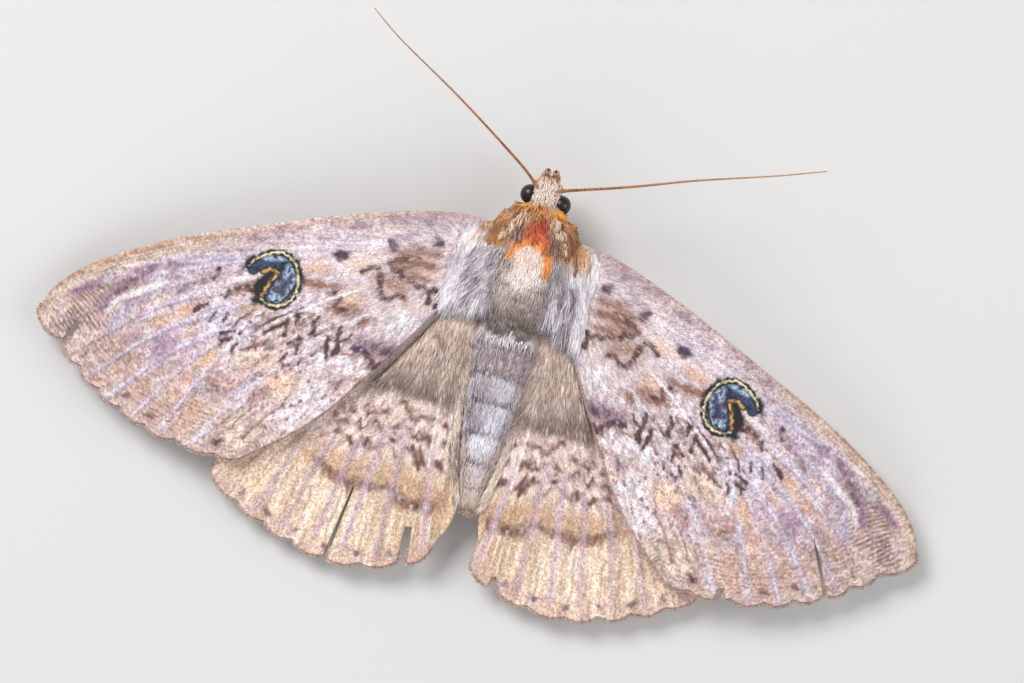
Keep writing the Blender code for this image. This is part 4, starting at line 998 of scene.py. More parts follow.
def make_wing(wing, word):
    """One wing as a painted sheet with thickness."""
    side = SIDES[word]
    veins, margin, paint, height, hinge, spacing = WINGS[wing]
    fine = None
    if wing == "forewing":
        middle = swing(np.array((EYESPOT_MIDDLE,)), FORE_HINGE, side["fore_swing"], side["fore_scale"])[0]
        fine = (middle, FINE_RADIUS, FINE_SPACING)
    spots, faces = lattice(OUTLINES[wing + "_" + word], spacing, fine)
    at_home = home(spots, wing, side)
    up = height(*spots.T) + relief(at_home, veins, margin, 5) + SHEET_THICK / 2
    places = model_points(side["sign"] * spots[:, 0], spots[:, 1], up)
    if side["sign"] > 0:
        faces = [face[::-1] for face in faces]
    mesh = bpy.data.meshes.new(wing + "_" + word)
    mesh.from_pydata(places * MM, [], faces)
    colours = paint(at_home)
    set_colours(mesh, "pattern", colours)
    gloss = np.maximum(0.4 * ramp(0.55 - colours.max(1), 0.15), 0.0 if wing == "forewing" else 0.4)
    if wing == "forewing":
        gloss = np.maximum(np.maximum(gloss, eyespot(at_home)), 0.4 * blot(at_home, EYESPOT_MIDDLE,
                (6.0, 6.2), 0, 0.4))
    set_values(mesh, "gloss", gloss)
    away = at_home - hinge + LIE_START
    run = np.hypot(*away.T)
    set_map(mesh, "lie", np.stack((run, np.arctan2(away[:, 1], away[:, 0]) * LIE_TURN), 1))
    piece = show(wing + "_sheet_" + word, mesh, (WING_TOP, WING_UNDER), (wing + "_" + word,))
    wall = piece.modifiers.new("thickness", "SOLIDIFY")
    wall.thickness = SHEET_THICK * MM
    wall.offset = -1.0
    wall.material_offset = 1
    wall.material_offset_rim = 1
    print(piece.name, len(faces), "triangles a side")
    return piece


for word in SIDES:
    make_wing("forewing", word)
    make_wing("hindwing", word)

# %% [markdown]
# ## The body's skin
#
# Under the hair, head, thorax and abdomen are one smooth skin, so no seam shows where the coat is thin. It
# is a grid wrapped round the body: one way runs round, the other from face to tail. The same wrap tells
# every tuft where its root is and which way is out.


# %% The body's shape, and the skin
# Rings of the skin: ahead, side, up, half width and half height
FRONT_RINGS = (
    (7.25, -0.35, 5.6, 0.03, 0.03), (7.05, -0.35, 5.6, 0.55, 0.62), (6.5, -0.35, 5.6, 0.92, 1.15),
    (5.9, -0.35, 5.62, 1.06, 1.32), (5.2, -0.37, 5.7, 1.06, 1.25), (4.8, -0.4, 5.8, 1.2, 1.3),
    (4.3, -0.4, 5.95, 1.75, 1.7), (3.4, -0.4, 6.05, 2.65, 2.45), (2.0, -0.4, 6.1, 3.15, 2.9),
    (0.0, -0.4, 6.1, 3.3, 3.05), (-2.0, -0.4, 6.05, 3.2, 2.95), (-3.6, -0.38, 5.8, 2.8, 2.6),
    (-4.9, -0.34, 5.4, 2.3, 2.15),
)
TAIL_RING = (-21.9, -0.9, 3.72, 0.05, 0.05)
SKIN_RINGS = [*FRONT_RINGS]
for ahead, wide, right in ABDOMEN_RINGS[1:]:
    up = ABDOMEN_UP + ABDOMEN_FALL * (ahead + 5.2)
    SKIN_RINGS.append((ahead, -right, up, wide * 0.96, wide * 0.96 * ABDOMEN_DEPTH))
SKIN_RINGS.append(TAIL_RING)
SKIN_LINE = np.array(curve(SKIN_RINGS, 0.12))
SKIN_LINE[:, 0] = np.minimum.accumulate(SKIN_LINE[:, 0])


def skin_ring(ahead):
    """The skin's side, up, half width and half height at a place along the body."""
    return [np.interp(-np.asarray(ahead, float), -SKIN_LINE[:, 0], SKIN_LINE[:, k]) for k in range(1, 5)]


def tergite(ahead):
    """How far along its tergite a place on the abdomen is, from 0 to 1."""
    ends = -ABDOMEN_RINGS[:, 0]
    k = np.clip(np.searchsorted(ends, -np.asarray(ahead, float), side="right") - 1, 0, len(ends) - 2)
    return ramp((-ahead - ends[k]) / (ends[k + 1] - ends[k]))


def skin_points(ahead, turn):
    """Points on the skin, turned round it from the top towards the left."""
    side, up, wide, high = skin_ring(ahead)
    ring = np.where(np.asarray(ahead) < -5.6, 0.955 + 0.07 * tergite(ahead) ** 0.6, 1.0)
    return model_points(side + wide * ring * np.sin(turn), ahead, up + high * ring * np.cos(turn))


def skin_normals(ahead, turn):
    """Which way is out at places on the skin."""
    wide, high = skin_ring(ahead)[2:]
    wider = skin_ring(ahead + 0.15)[2] - skin_ring(ahead - 0.15)[2]
    out = np.stack((np.sin(turn) * high, wider / 0.3 * np.minimum(wide, high), np.cos(turn) * wide), -1)
    return out / np.linalg.norm(out, axis=-1, keepdims=True)


def wrap(name, around, along, place):
    """A grid wrapped into a closed tube by place(turn, share), with its seam merged and its ends filled."""
    bm = bmesh.new()
    bmesh.ops.create_grid(bm, x_segments=around, y_segments=along, size=0.5)
    grid = np.array([v.co[:2] for v in bm.verts]) + 0.5
    points = place(grid[:, 0] * 2.0 * math.pi, grid[:, 1])
    for vert, point in zip(bm.verts, points):
        vert.co = point * MM
    bmesh.ops.remove_doubles(bm, verts=bm.verts[:], dist=1e-7)
    bmesh.ops.holes_fill(bm, edges=[e for e in bm.edges if e.is_boundary], sides=0)
    bmesh.ops.recalc_face_normals(bm, faces=bm.faces[:])
    mesh = bpy.data.meshes.new(name)
    bm.to_mesh(mesh)
    bm.free()
    return mesh


def spots_of(mesh):
    """A mesh's points in millimetres, as side, ahead and up."""
    flat = np.zeros(len(mesh.vertices) * 3)
    mesh.vertices.foreach_get("co", flat)
    x, y, z = flat.reshape(-1, 3).T / MM
    return x, ORIGIN_AHEAD - y, z


print("skin rings:", len(SKIN_LINE))

# %% [markdown]
# ## The body's colours
#
# Seen from above: an ochre and orange collar, a red-orange crest round a cream oval, silver-grey hair at the
# sides, and a pale silvery abdomen. Skin and hair are painted by this one function, so they always agree.

# %% Paint the body
CREST = (BODY_SIDE, 0.55)


def paint_body(side, ahead, up):
    """The body's colours at places given as side, ahead and up."""
    right = -(side - body_side(ahead))
    out = np.abs(right)
    spots = np.stack((right, ahead), 1)
    both = np.stack((out, ahead), 1)
    shaken = shake(spots, 0.2, 0.5, 2)
    lock = clouds(right * 1.6, ahead * 0.5, 0.9, 12, 3)
    fine = cloud(right * 9.0, ahead * 1.2, 1.0, 14)
    paint = np.tile(ink(168, 150, 144), (len(side), 1))
    paint = lay(paint, 0.5 + 0.8 * lock, ink(196, 182, 178))
    flank = ramp(out - 1.9, 0.8) * ramp(3.4 - ahead, 0.8) * ramp(ahead + 6.5, 1.0)
    paint = lay(paint, flank * 0.95, ink(240, 231, 236))
    paint = lay(paint, 0.7 * flank * ramp(ahead + 2.4, 1.5), ink(190, 178, 184))
    paint = lay(paint, flank * ramp(lock * 2.2 + fine * 0.5 - 0.25) * 0.7, ink(138, 120, 126))
    paint = lay(paint, flank * ramp(-lock * 2.0 + fine * 0.6 - 0.1), ink(242, 238, 244))
    for line in (((4.2, -1.0), (4.5, -1.8)), ((3.3, -1.6), (3.4, -2.8)), ((2.3, -1.5), (2.4, -3.5)),
                 ((2.6, 0.6), (2.9, -0.6))):
        paint = lay(paint, 0.6 * stroke(shake(both, 0.2, 0.4, 3), line, 0.6, 0.5), ink(104, 92, 104))
    paint = lay(paint, blot(shake(both, 0.2, 0.4, 3), (4.6, 1.4), (2.4, 1.8), 0, 0.5), ink(252, 246, 246))
    paint = lay(paint, blot(shaken, (0.0, -4.2), (4.4, 3.0), 0, 0.9) * 0.85, ink(144, 126, 116))
    paint = lay(paint, blot(shaken, (0.0, -5.2), (4.4, 1.0), 0, 0.6) * 0.7, ink(112, 96, 90))
    paint = lay(paint, blot(shaken, (0.0, -2.3), (3.4, 1.6), 0, 0.8) * 0.5, ink(206, 190, 184))
    collar = ramp(ahead - 1.6 + 0.2 * out, 0.6) * ramp(5.4 - ahead, 0.5) * ramp(5.3 - out, 0.8)
    paint = lay(paint, collar * 0.95 * ramp(4.6 - out, 0.8), ink(164, 106, 66))
    paint = lay(paint, collar * ramp(0.25 + 1.8 * cloud(right, ahead, 0.45, 5)) * 0.8, ink(222, 160, 92))
    paint = lay(paint, 0.8 * collar * ramp(ahead - 3.8, 1.0), ink(226, 150, 76))
    paint = lay(paint, collar * ramp(2.0 * cloud(right * 1.5, ahead, 0.35, 7) - 0.4) * 0.45,
                ink(246, 216, 178))
    paint = lay(paint, collar * ramp(2.0 * cloud(right * 1.5, ahead, 0.4, 9) - 0.4) * 0.6, ink(120, 76, 50))
    paint = lay(paint, 0.9 * stroke(shake(both, 0.1, 0.3, 4), ((0.5, 4.85), (1.2, 4.65)), 0.5, 0.3),
                ink(248, 172, 72))
    paint = lay(paint, 0.7 * blot(shake(both, 0.15, 0.3, 4), (2.7, 2.5), (1.7, 1.6), 10, 0.5),
                ink(168, 106, 62))
    paint = lay(paint, 0.8 * stroke(both, ((1.0, 3.9), (1.6, 3.2), (2.0, 2.3)), 0.3, 0.2),
                ink(244, 218, 190))
    paint = lay(paint, 0.6 * stroke(both, ((1.2, 3.0), (1.6, 2.0)), 0.5, 0.3), ink(140, 124, 124))
    crest = shake(np.stack((right, ahead - CREST[1]), 1), 0.15, 0.4, 6)
    paint = lay(paint, 0.6 * blot(crest, (0.05, 1.9), (3.0, 2.6), 0, 0.5), ink(150, 110, 104))
    paint = lay(paint, 0.95 * blot(crest, (0.1, 2.0), (1.8, 2.4), 0, 0.3), ink(206, 92, 46))
    paint = lay(paint, 0.9 * blot(crest, (0.1, 1.7), (1.1, 1.3), 0, 0.4), ink(232, 112, 48))
    paint = lay(paint, 0.6 * blot(crest, (0.05, 2.9), (1.2, 0.9), 0, 0.3), ink(176, 66, 34))
    ring = ((-1.35, 0.2), (-1.1, 0.8), (-0.5, 1.3), (0.3, 1.45), (1.0, 1.15), (1.35, 0.5), (1.35, -0.4))
    paint = lay(paint, stroke(crest, ring, 0.75, 0.25), ink(252, 160, 72))
    paint = lay(paint, blot(crest, (0.0, -0.2), (2.2, 2.5), 0, 0.3), ink(254, 232, 216))
    paint = lay(paint, 0.5 * blot(crest, (-0.1, -0.3), (1.0, 1.2), 0, 0.4), ink(232, 204, 202))
    paint = lay(paint, 0.9 * blot(crest, (0.0, -1.6), (2.8, 1.6), 0, 0.6), ink(244, 232, 226))
    # Painted highlight: a small pale spot of light on the red crest.
    paint = lay(paint, 0.8 * blot(crest, (0.15, 1.9), (0.4, 0.4), 0, 0.15), ink(254, 226, 200))
    head = ramp(ahead - 5.1, 0.4)
    paint = lay(paint, head, ink(214, 172, 138))
    paint = lay(paint, head * blot(shaken, (0.0, 5.8), (1.9, 1.9), 0, 0.5), ink(254, 236, 218))
    paint = lay(paint, head * ramp(ahead - 6.5, 0.4) * 0.9, ink(206, 152, 122))
    share = tergite(ahead)
    silver = lay(np.tile(ink(206, 192, 196), (len(side), 1)), ramp(-9.5 - ahead, 3.0), ink(212, 204, 212))
    silver = lay(silver, 0.8 * blot(spots, (0.0, -6.4), (4.6, 1.5), 0, 0.6), ink(240, 232, 234))
    silver = lay(silver, 0.85 * blot(spots, (0.0, -8.6), (5.0, 2.2), 0, 0.6), ink(146, 124, 120))
    silver = lay(silver, 0.7 * blot(spots, (0.0, -12.4), (5.0, 4.2), 0, 0.9), ink(170, 160, 168))
    silver = lay(silver, 0.5 * ramp(clouds(right * 1.6, ahead * 0.9, 1.0, 31, 3) * 2.0), ink(168, 148, 158))
    # Painted highlight: a bright sheen stripe down the right of the abdomen.
    sheen = stroke(shaken, ((0.9, -10.6), (0.8, -12.4), (0.4, -14.6), (0.1, -16.8)), 1.5, 1.2)
    silver = lay(silver, 0.7 * sheen * (0.7 + 0.6 * cloud(right, ahead, 0.9, 33)), ink(240, 242, 250))
    silver = lay(silver, 0.6 * blot(shaken, (0.0, -15.8), (3.0, 2.4), 0, 0.8), ink(248, 246, 250))
    # Painted shade: the abdomen's left side darker, away from the painted sheen.
    silver = lay(silver, 0.5 * blot(shaken, (-1.4, -13.0), (1.4, 5.0), 0, 0.8), ink(156, 142, 152))
    silver = lay(silver, 0.3 * ramp(share - 0.7, 0.25), ink(160, 138, 140))
    line = ramp(share - 0.93, 0.04) * ramp(0.75 + 0.8 * cloud(right, ahead, 0.7, 35))
    silver = lay(silver, 0.8 * line, ink(96, 80, 84))
    silver = lay(silver, 0.35 * ramp(clouds(right * 7.0, ahead * 0.9, 1.0, 37, 2) * 2.0),
                 ink(150, 134, 140))
    silver = lay(silver, 0.35 * ramp(-clouds(right * 7.0, ahead * 0.9, 1.0, 37, 2) * 2.0),
                 ink(242, 238, 244))
    # Painted shade: the abdomen darker towards its sides, where it curves away from the light.
    silver = lay(silver, 0.4 * ramp(out - 1.3, 1.2), ink(176, 160, 160))
    silver = lay(silver, ramp(-20.3 - ahead, 1.2) * 0.7, ink(128, 108, 106))
    paint = paint + (silver - paint) * ramp(-5.4 - ahead, 0.3)[:, None]
    below = ramp(5.6 - up, 1.2) * (out < 4.0)
    paint = lay(paint, below * 0.85, ink(206, 180, 160))
    brightest = paint.max(1, keepdims=True)
    return paint * np.minimum(1.16, 0.95 / brightest)


def coat_material(name, roughness, sheen, change=0.25):
    """Soft hair: the painted colour with fine light and dark strands."""
    made, tree, shader = new_material(name, roughness, sheen)
    colour = attribute(tree, "pattern")
    place = node(tree, "TexCoord")
    size = node(tree, "Mapping", {"Scale": (9000.0, 1500.0, 5000.0)})
    link(tree, place, "Object", size, "Vector")
    strands = node(tree, "TexNoise", {"Scale": 1.0})
    link(tree, size, "Vector", strands, "Vector")
    amount = node(tree, "MapRange", {"From Min": 0.3, "From Max": 0.7, "To Min": 1.0 - change,
                                     "To Max": 1.0 + 0.8 * change})
    link(tree, strands, "Fac", amount, "Value")
    tint = node(tree, "VectorMath")
    tint.operation = "SCALE"
    link(tree, colour, "Color", tint, 0)
    link(tree, amount, "Result", tint, "Scale")
    link(tree, tint, "Vector", shader, "Base Color")
    bump_of(tree, strands, "Fac", 0.35, 0.00005, shader)
    return made


FUR = coat_material("soft hair", 0.65, 0.25)
SILK = coat_material("silky abdomen scales", 0.4, 0.1, 0.12)


def make_skin():
    """The one skin of head, thorax and abdomen."""
    lengths = SKIN_LINE[0, 0] + (SKIN_LINE[-1, 0] - SKIN_LINE[0, 0]) * np.linspace(0, 1, 221)

    def place(turn, share):
        ahead = np.interp(share, np.linspace(0, 1, len(lengths)), lengths)
        return skin_points(ahead, turn)

    mesh = wrap("body_skin", 65, 261, place)
    side, ahead, up = spots_of(mesh)
    # Painted shade: the skin under the head and thorax hair is darker, as if deep in the coat's shadow.
    shade_under_hair = np.where(ahead < -5.4, 1.0, 0.8)
    set_colours(mesh, "pattern", paint_body(side, ahead, up) * shade_under_hair[:, None])
    return show("body_skin", mesh, (SILK,), ("head", "thorax", "abdomen"))


body_skin = make_skin()
print("skin faces:", len(body_skin.data.polygons))

# %% [markdown]
# ## Hair as tufts
#
# Particle hair can't be exported, so each tuft is a small closed blade of mesh: two or three rings of three
# points and a tip, bent along the lie of the coat. One function grows thousands of them from arrays of
# roots. Each tuft keeps a tiny patch of the map OFBake at its root's place on the skin's unwrap, and carries
# its own colours, darker at the root.


# %% The tuft maker
def unit(vectors):
    """Vectors made one long."""
    return vectors / np.maximum(np.linalg.norm(vectors, axis=-1, keepdims=True), 1e-9)


def wing_rest(points, room=0.1):
    """The lowest height hair may have over a wing or the abdomen, at points of the model."""
    side, ahead = points[:, 0], ORIGIN_AHEAD - points[:, 1]
    out = np.abs(side)
    inner = np.interp(-ahead, [-2.7, 4.6, 8.0, 13.0, 17.3], [3.2, 5.1, 6.8, 9.8, 12.5])
    over_fore = (ahead < 2.9) & (ahead > -4.6) & (out > 3.3) | (out > inner)
    top = np.where(over_fore, wing_up(out, ahead), hind_up(out, ahead)) + SHEET_THICK / 2 + room
    belly_side, belly_up, wide, high = skin_ring(ahead)
    across = ramp(1.0 - ((side - belly_side) / (wide * 1.03)) ** 2)
    belly = belly_up + high * 1.03 * np.sqrt(across) + room
    beyond = np.abs(side - belly_side) > wide * 1.03
    on_wing = beyond & (out > 2.2) & (points[:, 2] > top - 1.2)
    rest = np.where(on_wing, top, -9.0)
    return np.where((ahead < -4.4) & ~beyond & (points[:, 2] > belly_up), np.maximum(rest, belly), rest)


TUFT_PATCH = 0.003  # how wide a tuft's place on its map is
# A long blade has three rings and a tip, a short one two; each ring's share of the length and of the width
LONG_BLADE = ((0.0, 0.8), (0.35, 1.0), (0.7, 0.7), (1.0, 0.0))
SHORT_BLADE = ((0.0, 0.8), (0.5, 1.0), (1.0, 0.0))


def grow(name, coat, material, roots, out, flow, length, width, lift, droop, patch, seed, rest=True,
         shade=0.74,
         blade=SHORT_BLADE):
    """A piece of coat: one bent, tapered blade from each root."""
    draw = np.random.default_rng(seed)
    count = len(roots)
    flow = unit(flow - out * np.sum(flow * out, 1, keepdims=True))
    side = np.cross(out, flow)
    curl = draw.normal(0.0, 0.07, count)
    rings = []
    for t, wide in blade:
        rise = lift * math.sin(math.pi * min(1.0, 0.15 + t * 0.75)) - 0.12
        middle = roots + flow * (length * t)[:, None] + out * rise[:, None]
        middle = middle + side * (curl * length * t * t)[:, None]
        middle[:, 2] -= droop * length * t * t
        if rest and t > 0.0:
            middle[:, 2] = np.maximum(middle[:, 2], wing_rest(middle))
        middle[:, 2] = np.maximum(middle[:, 2], 0.05)
        if wide == 0.0:
            rings.append(middle)
            break
        half = side * (width * wide / 2)[:, None]
        rings += [middle - half, middle + out * (width * wide * 0.45)[:, None], middle + half]
    points = np.stack(rings, 1)
    points[:, :, 2] = np.maximum(points[:, :, 2], 0.02)
    size = points.shape[1]
    faces = [(0, 2, 1)]
    for ring in range(0, size - 4, 3):
        for a, b in ((0, 1), (1, 2), (2, 0)):
            faces += [(ring + a, ring + b, ring + 3 + b), (ring + a, ring + 3 + b, ring + 3 + a)]
    faces += [(size - 4 + a, size - 4 + b, size - 1) for a, b in ((0, 1), (1, 2), (2, 0))]
    corners = (np.array(faces)[None] + np.arange(count)[:, None, None] * size).reshape(-1)
    mesh = bpy.data.meshes.new(name)
    mesh.vertices.add(count * size)
    mesh.vertices.foreach_set("co", (points * MM).astype(np.float32).ravel())
    mesh.loops.add(len(corners))
    mesh.loops.foreach_set("vertex_index", corners.astype(np.int32))
    mesh.polygons.add(len(corners) // 3)
    mesh.polygons.foreach_set("loop_start", np.arange(0, len(corners), 3, dtype=np.int32))
    mesh.update()
    uneven = 0.5 * (1.12 - shade)
    tint = coat * draw.uniform(1.0 - uneven, 1.0 + 0.85 * uneven, count)[:, None]
    along = np.repeat([t for t, wide in blade], 3)[:size]
    # Painted shade: each tuft is darker towards its root, where the coat shades it, and lighter towards its
    # tip.
    colours = tint[:, None, :] * (shade + (1.12 - shade) * along ** 0.7)[None, :, None]
    set_colours(mesh, "pattern", colours.reshape(-1, 3))
    across = np.tile((0.0, 0.5, 1.0), len(blade))[:size]
    spread = np.stack((across, along), 1)[None] * TUFT_PATCH
    set_map(mesh, "OFBake", (patch[:, None, :] * 0.99 + spread).reshape(-1, 2))
    piece = show(name, mesh, (material,))
    print(name, count, "tufts,", count * len(faces), "triangles")
    return piece


def heading(angle):
    """Flat directions turned from straight back towards the moth's left."""
    return np.stack((np.sin(angle), np.cos(angle), np.zeros(len(angle))), -1)


def unwrap(ahead, turn):
    """A root's place on the skin's unwrap."""
    return np.stack(((turn / (2 * math.pi)) % 1.0, ramp(7.3 - ahead, 29.5)), -1)


print("tuft maker ready")

# %% [markdown]
# ## The body's coat
#
# The coat is grown region by region, as a taxidermist would lay it: short on the collar, dense and upright
# on the crest, long over the sides and the wing roots, a fringe behind, and flat scales on the abdomen.

# %% Grow the body's hair
def body_coat(name, count, aheads, turns, angle, length, width, lift, droop, seed, keep=None,
              material=None,
              shade=0.74, rest=True):
    """Hair over a patch of the skin; angle, length and lift may depend on the root's place."""
    draw = np.random.default_rng(seed)
    ahead = draw.uniform(*aheads, count)
    turn = draw.uniform(*turns, count)
    if keep is not None:
        draw.random(count)  # one more draw for each root, so that the coat stays as it was tuned
        chosen = keep(ahead, turn)
        ahead, turn = ahead[chosen], turn[chosen]
    roots = skin_points(ahead, turn)
    coat = paint_body(roots[:, 0], ahead, roots[:, 2])
    lengths = length(ahead, turn) * draw.uniform(0.75, 1.2, len(ahead))
    way = heading(angle(ahead, turn) + draw.normal(0.0, 0.1, len(ahead)))
    return grow(name, coat, material or FUR, roots, skin_normals(ahead, turn), way, lengths,
                width * draw.uniform(0.7, 1.3, len(ahead)), lift(ahead, turn) * draw.uniform(0.6, 1.4,
                        len(ahead)),
                droop, unwrap(ahead, turn), seed, rest, shade)


def steady(value):
    """A length or lift that is the same everywhere."""
    return lambda ahead, turn: np.full(len(ahead), value)


def locks(ahead, turn):
    """How the hair of a lock leans away from its neighbours."""
    return 0.28 * cloud(turn * 3.0, ahead, 0.8, 63) + 0.15 * cloud(turn * 3.0, ahead, 0.35, 64)


body_coat("coat_thorax_top", 10000, (-4.6, 2.6), (-1.15, 1.15), lambda a, t: 0.3 * t + locks(a, t),
          lambda a, t: np.minimum(1.5 + 0.5 * np.abs(t),
                                  np.maximum(6.0 + a + 1.2 * cloud(t * 4.0, a, 0.6, 68),
                                             0.8)), 0.12, lambda a, t: 0.3 + 0.25 * cloud(t * 3.0, a, 0.7,
                  65), 0.06, 101)
body_coat("coat_collar", 8000, (2.2, 5.3), (-1.75, 1.75), lambda a, t: 0.7 * t + 2.2 * locks(a, t),
          lambda a, t: 1.3 + 0.5 * cloud(t * 4.0, a, 0.4, 70), 0.15, lambda a, t: 0.4 + 0.35 * cloud(t
                  * 3.0, a, 0.4, 66), 0.0, 102, shade=0.6)
body_coat("coat_patagia_left", 3000, (1.2, 4.0), (0.65, 1.6), lambda a, t: 0.75 + locks(a, t), steady(2.1),
          0.13, steady(0.45), 0.1, 111)
body_coat("coat_patagia_right", 3000, (1.2, 4.0), (-1.6, -0.65), lambda a, t: -0.75 + locks(a, t),
          steady(2.1), 0.13, steady(0.45), 0.1, 112)
body_coat("coat_crest", 8000, (-1.8, 3.6), (-0.55, 0.55), lambda a, t: 0.6 * t, steady(0.9), 0.1,
          steady(0.4), 0.0, 103, shade=0.84)
body_coat("coat_rear_fringe", 6000, (-4.8, -2.4), (-1.2, 1.2), lambda a, t: 0.25 * t + locks(a, t),
          lambda a, t: np.minimum(2.3, np.maximum(6.0 + a + 1.6 * cloud(t * 4.0, a, 0.5, 69), 0.8)), 0.11,
          lambda a, t: 0.3 + 0.2 * cloud(t * 3.0, a, 0.7, 67), 0.1, 104)
body_coat("coat_under", 5500, (-4.8, 4.6), (1.35, 4.93), lambda a, t: 0.2 * np.sin(t), steady(1.7), 0.24,
          steady(0.3), 0.0, 105)
body_coat("coat_abdomen", 10000, (-21.6, -4.9), (0.0, 2 * math.pi), lambda a, t: 0.0 * t, steady(0.9), 0.1,
          steady(0.14), 0.0,
          106, material=SILK, shade=0.96, rest=False)
for number, (word, side) in enumerate(SIDES.items()):
    turns = (0.9, 2.1) if side["sign"] > 0 else (-2.1, -0.9)
    body_coat("coat_abdomen_side_" + word, 3000, (-20.5, -5.2), turns, lambda a, t: np.sign(t) * 0.2
              + locks(a, t), steady(1.4),
              0.09, steady(0.2), 0.0, 107 + number, material=SILK)
body_coat("coat_tail", 900, (-21.8, -19.9), (0.0, 2 * math.pi), lambda a, t: 0.15 * np.sin(t), steady(1.4),
          0.14, steady(0.12), 0.0,
          109, material=SILK)


# The head is turned a little to the right, so the eyes don't lie quite level
EYE_PLACES = {"left": (1.0, 5.75, 5.7), "right": (-1.83, 5.5, 5.7)}
EYE_RADIUS = 0.86
EYE_CLEAR = 0.8


def off_the_eyes(ahead, turn):
    """Roots on the head that don't lie under an eye."""
    spots = skin_points(ahead, turn)
    clear = np.ones(len(ahead), bool)
    for place in EYE_PLACES.values():
        clear &= np.linalg.norm(spots - model_points(*place), axis=1) > EYE_CLEAR
    return clear


body_coat("coat_head", 6000, (4.6, 7.0), (0.0, 2 * math.pi), lambda a, t: 0.8 * np.sin(t)
          + 2.0 * locks(a, t), steady(0.7), 0.09,
          steady(0.3), 0.0, 110, keep=off_the_eyes, shade=0.9)
body_coat("coat_face", 2600, (6.1, 7.2), (0.0, 2 * math.pi), lambda a, t: math.pi - 0.7 * np.sin(t)
          + 2.0 * locks(a, t), steady(0.95),
          0.1, steady(0.35), 0.0, 113, keep=off_the_eyes, shade=0.85)

# %% Grow the long hair over the wing roots
def wing_root_hair(word, count, seed):
    """Long silver-grey hair from the shoulder, lying back over the wing root in loose locks."""
    sign = SIDES[word]["sign"]
    draw = np.random.default_rng(seed)
    out = 2.0 + 3.7 * draw.random(count) ** 1.25
    ahead = draw.uniform(-3.4, 3.1, count) - 0.3 * (out - 2.3)
    lock = cloud(out, ahead, 0.8, seed) + 0.5 * cloud(out, ahead, 0.35, seed + 1)
    rise = 0.9 * np.exp(-((out - 2.7) / 1.3) ** 2) * np.clip((3.1 - ahead) / 1.5, 0.3, 1)
    up = wing_up(np.maximum(out, 3.4), ahead) + 0.1 + rise
    roots = model_points(sign * out + BODY_SIDE * 0.6, ahead, up)
    coat = paint_body(roots[:, 0], ahead, up + 2.0)
    normals = unit(np.stack((sign * 0.25 * (out - 2.0), 0.0 * out, np.ones(count)), -1))
    way = heading(sign * (0.18 + 0.1 * (out - 2.3)) + 0.3 * lock + draw.normal(0, 0.1, count))
    patch = np.stack((0.5 + sign * out / 12.0, (3.4 - ahead) / 8.0), -1)
    lengths = (np.clip(2.0 + 0.3 * ahead, 1.5, 3.0) + 0.7 * lock) * draw.uniform(0.7, 1.25,
            count) * np.clip(6.6 - out, 0.6, 1.0)
    lengths += 1.8 * (ahead < -1.6) * draw.random(count) ** 1.6
    return grow("coat_shoulder_" + word, coat, FUR, roots, normals, way,
                np.maximum(lengths, 0.7),
                0.1 * draw.uniform(0.7, 1.4, count), (0.3 + 0.25 * lock) * draw.uniform(0.5, 1.4,
                        count), 0.3, patch, seed,
                blade=LONG_BLADE)


def hindwing_hair(word, count, seed):
    """Brown hair over the hindwing's base, lying back along its folds."""
    sign = SIDES[word]["sign"]
    draw = np.random.default_rng(seed)
    ahead = -4.8 - 7.6 * draw.random(count) ** 0.9
    inner = along_abdomen(ahead, 1) + 0.35 + body_side(ahead) * sign
    outer = np.interp(-ahead, [4.6, 8.0, 13.0], [5.1, 6.7, 9.6])
    out = inner + (outer - inner) * draw.random(count) ** 1.15
    roots = model_points(sign * out, ahead, hind_up(out, ahead) + SHEET_THICK / 2 + 0.1)
    spots = swing(np.stack((out, ahead), 1), HIND_HINGE, -SIDES[word]["hind_swing"])
    coat = lay(paint_hindwing(spots - (0.0, 1.2)), 0.5 * draw.random(count), ink(214, 188, 172)) * 1.32
    coat = coat * np.minimum(1.0, 0.88 / coat.max(1, keepdims=True))
    normals = np.tile((0.0, 0.0, 1.0), (count, 1))
    way = heading(sign * ((out - 4.2) * 0.08 - 0.2 * np.exp((inner - out) / 0.4))
                  + 0.08 * cloud(out, ahead, 0.9, seed)
                  + draw.normal(0, 0.05, count))
    lengths = np.minimum(draw.uniform(1.4, 3.2, count),
                         np.maximum(13.2 + ahead + draw.normal(0, 0.9, count), 0.6))
    patch = np.stack((0.5 + sign * out / 24.0, -ahead / 16.0), -1)
    return grow("coat_hindwing_" + word, coat, FUR, roots, normals, way, lengths,
                0.09 * draw.uniform(0.7, 1.3, count), 0.08 * draw.uniform(0.3, 1.5,
                        count), 0.0, patch, seed, shade=0.88)


def inner_fringe(word, count, seed):
    """Pale hair from the hindwing's inner edge, leaning over the side of the abdomen."""
    sign = SIDES[word]["sign"]
    draw = np.random.default_rng(seed)
    ahead = draw.uniform(-21.0, -5.4, count)
    out = along_abdomen(ahead, 1) + 0.42 + 0.5 * draw.random(count) ** 2 + body_side(ahead) * sign
    roots = model_points(sign * out, ahead, hind_up(out, ahead) + SHEET_THICK / 2 + 0.06)
    coat = lay(np.tile(ink(246, 228, 212), (count, 1)), draw.random(count) ** 2, ink(190, 160, 142))
    way = heading(sign * -0.3 + draw.normal(0, 0.08, count))
    patch = np.stack((0.5 + sign * out / 24.0, -ahead / 24.0), -1)
    return grow("coat_inner_edge_" + word, coat, FUR, roots,
                np.tile((0.0, 0.0, 1.0), (count, 1)), way,
                draw.uniform(0.8, 2.0, count), 0.08 * draw.uniform(0.7, 1.3, count), np.full(count,
                        0.1), 0.0, patch, seed, shade=0.88)


for number, word in enumerate(SIDES):
    inner_fringe(word, 1500, 135 + number)
    wing_root_hair(word, 12000, 121 + number)
    hindwing_hair(word, 7500, 131 + number)

# %% [markdown]
# ## Fringe
#
# The wings' outer margins carry a fringe of narrow scales, and the tears are frayed. The fringe is grown
# along each outline with the same tufts.


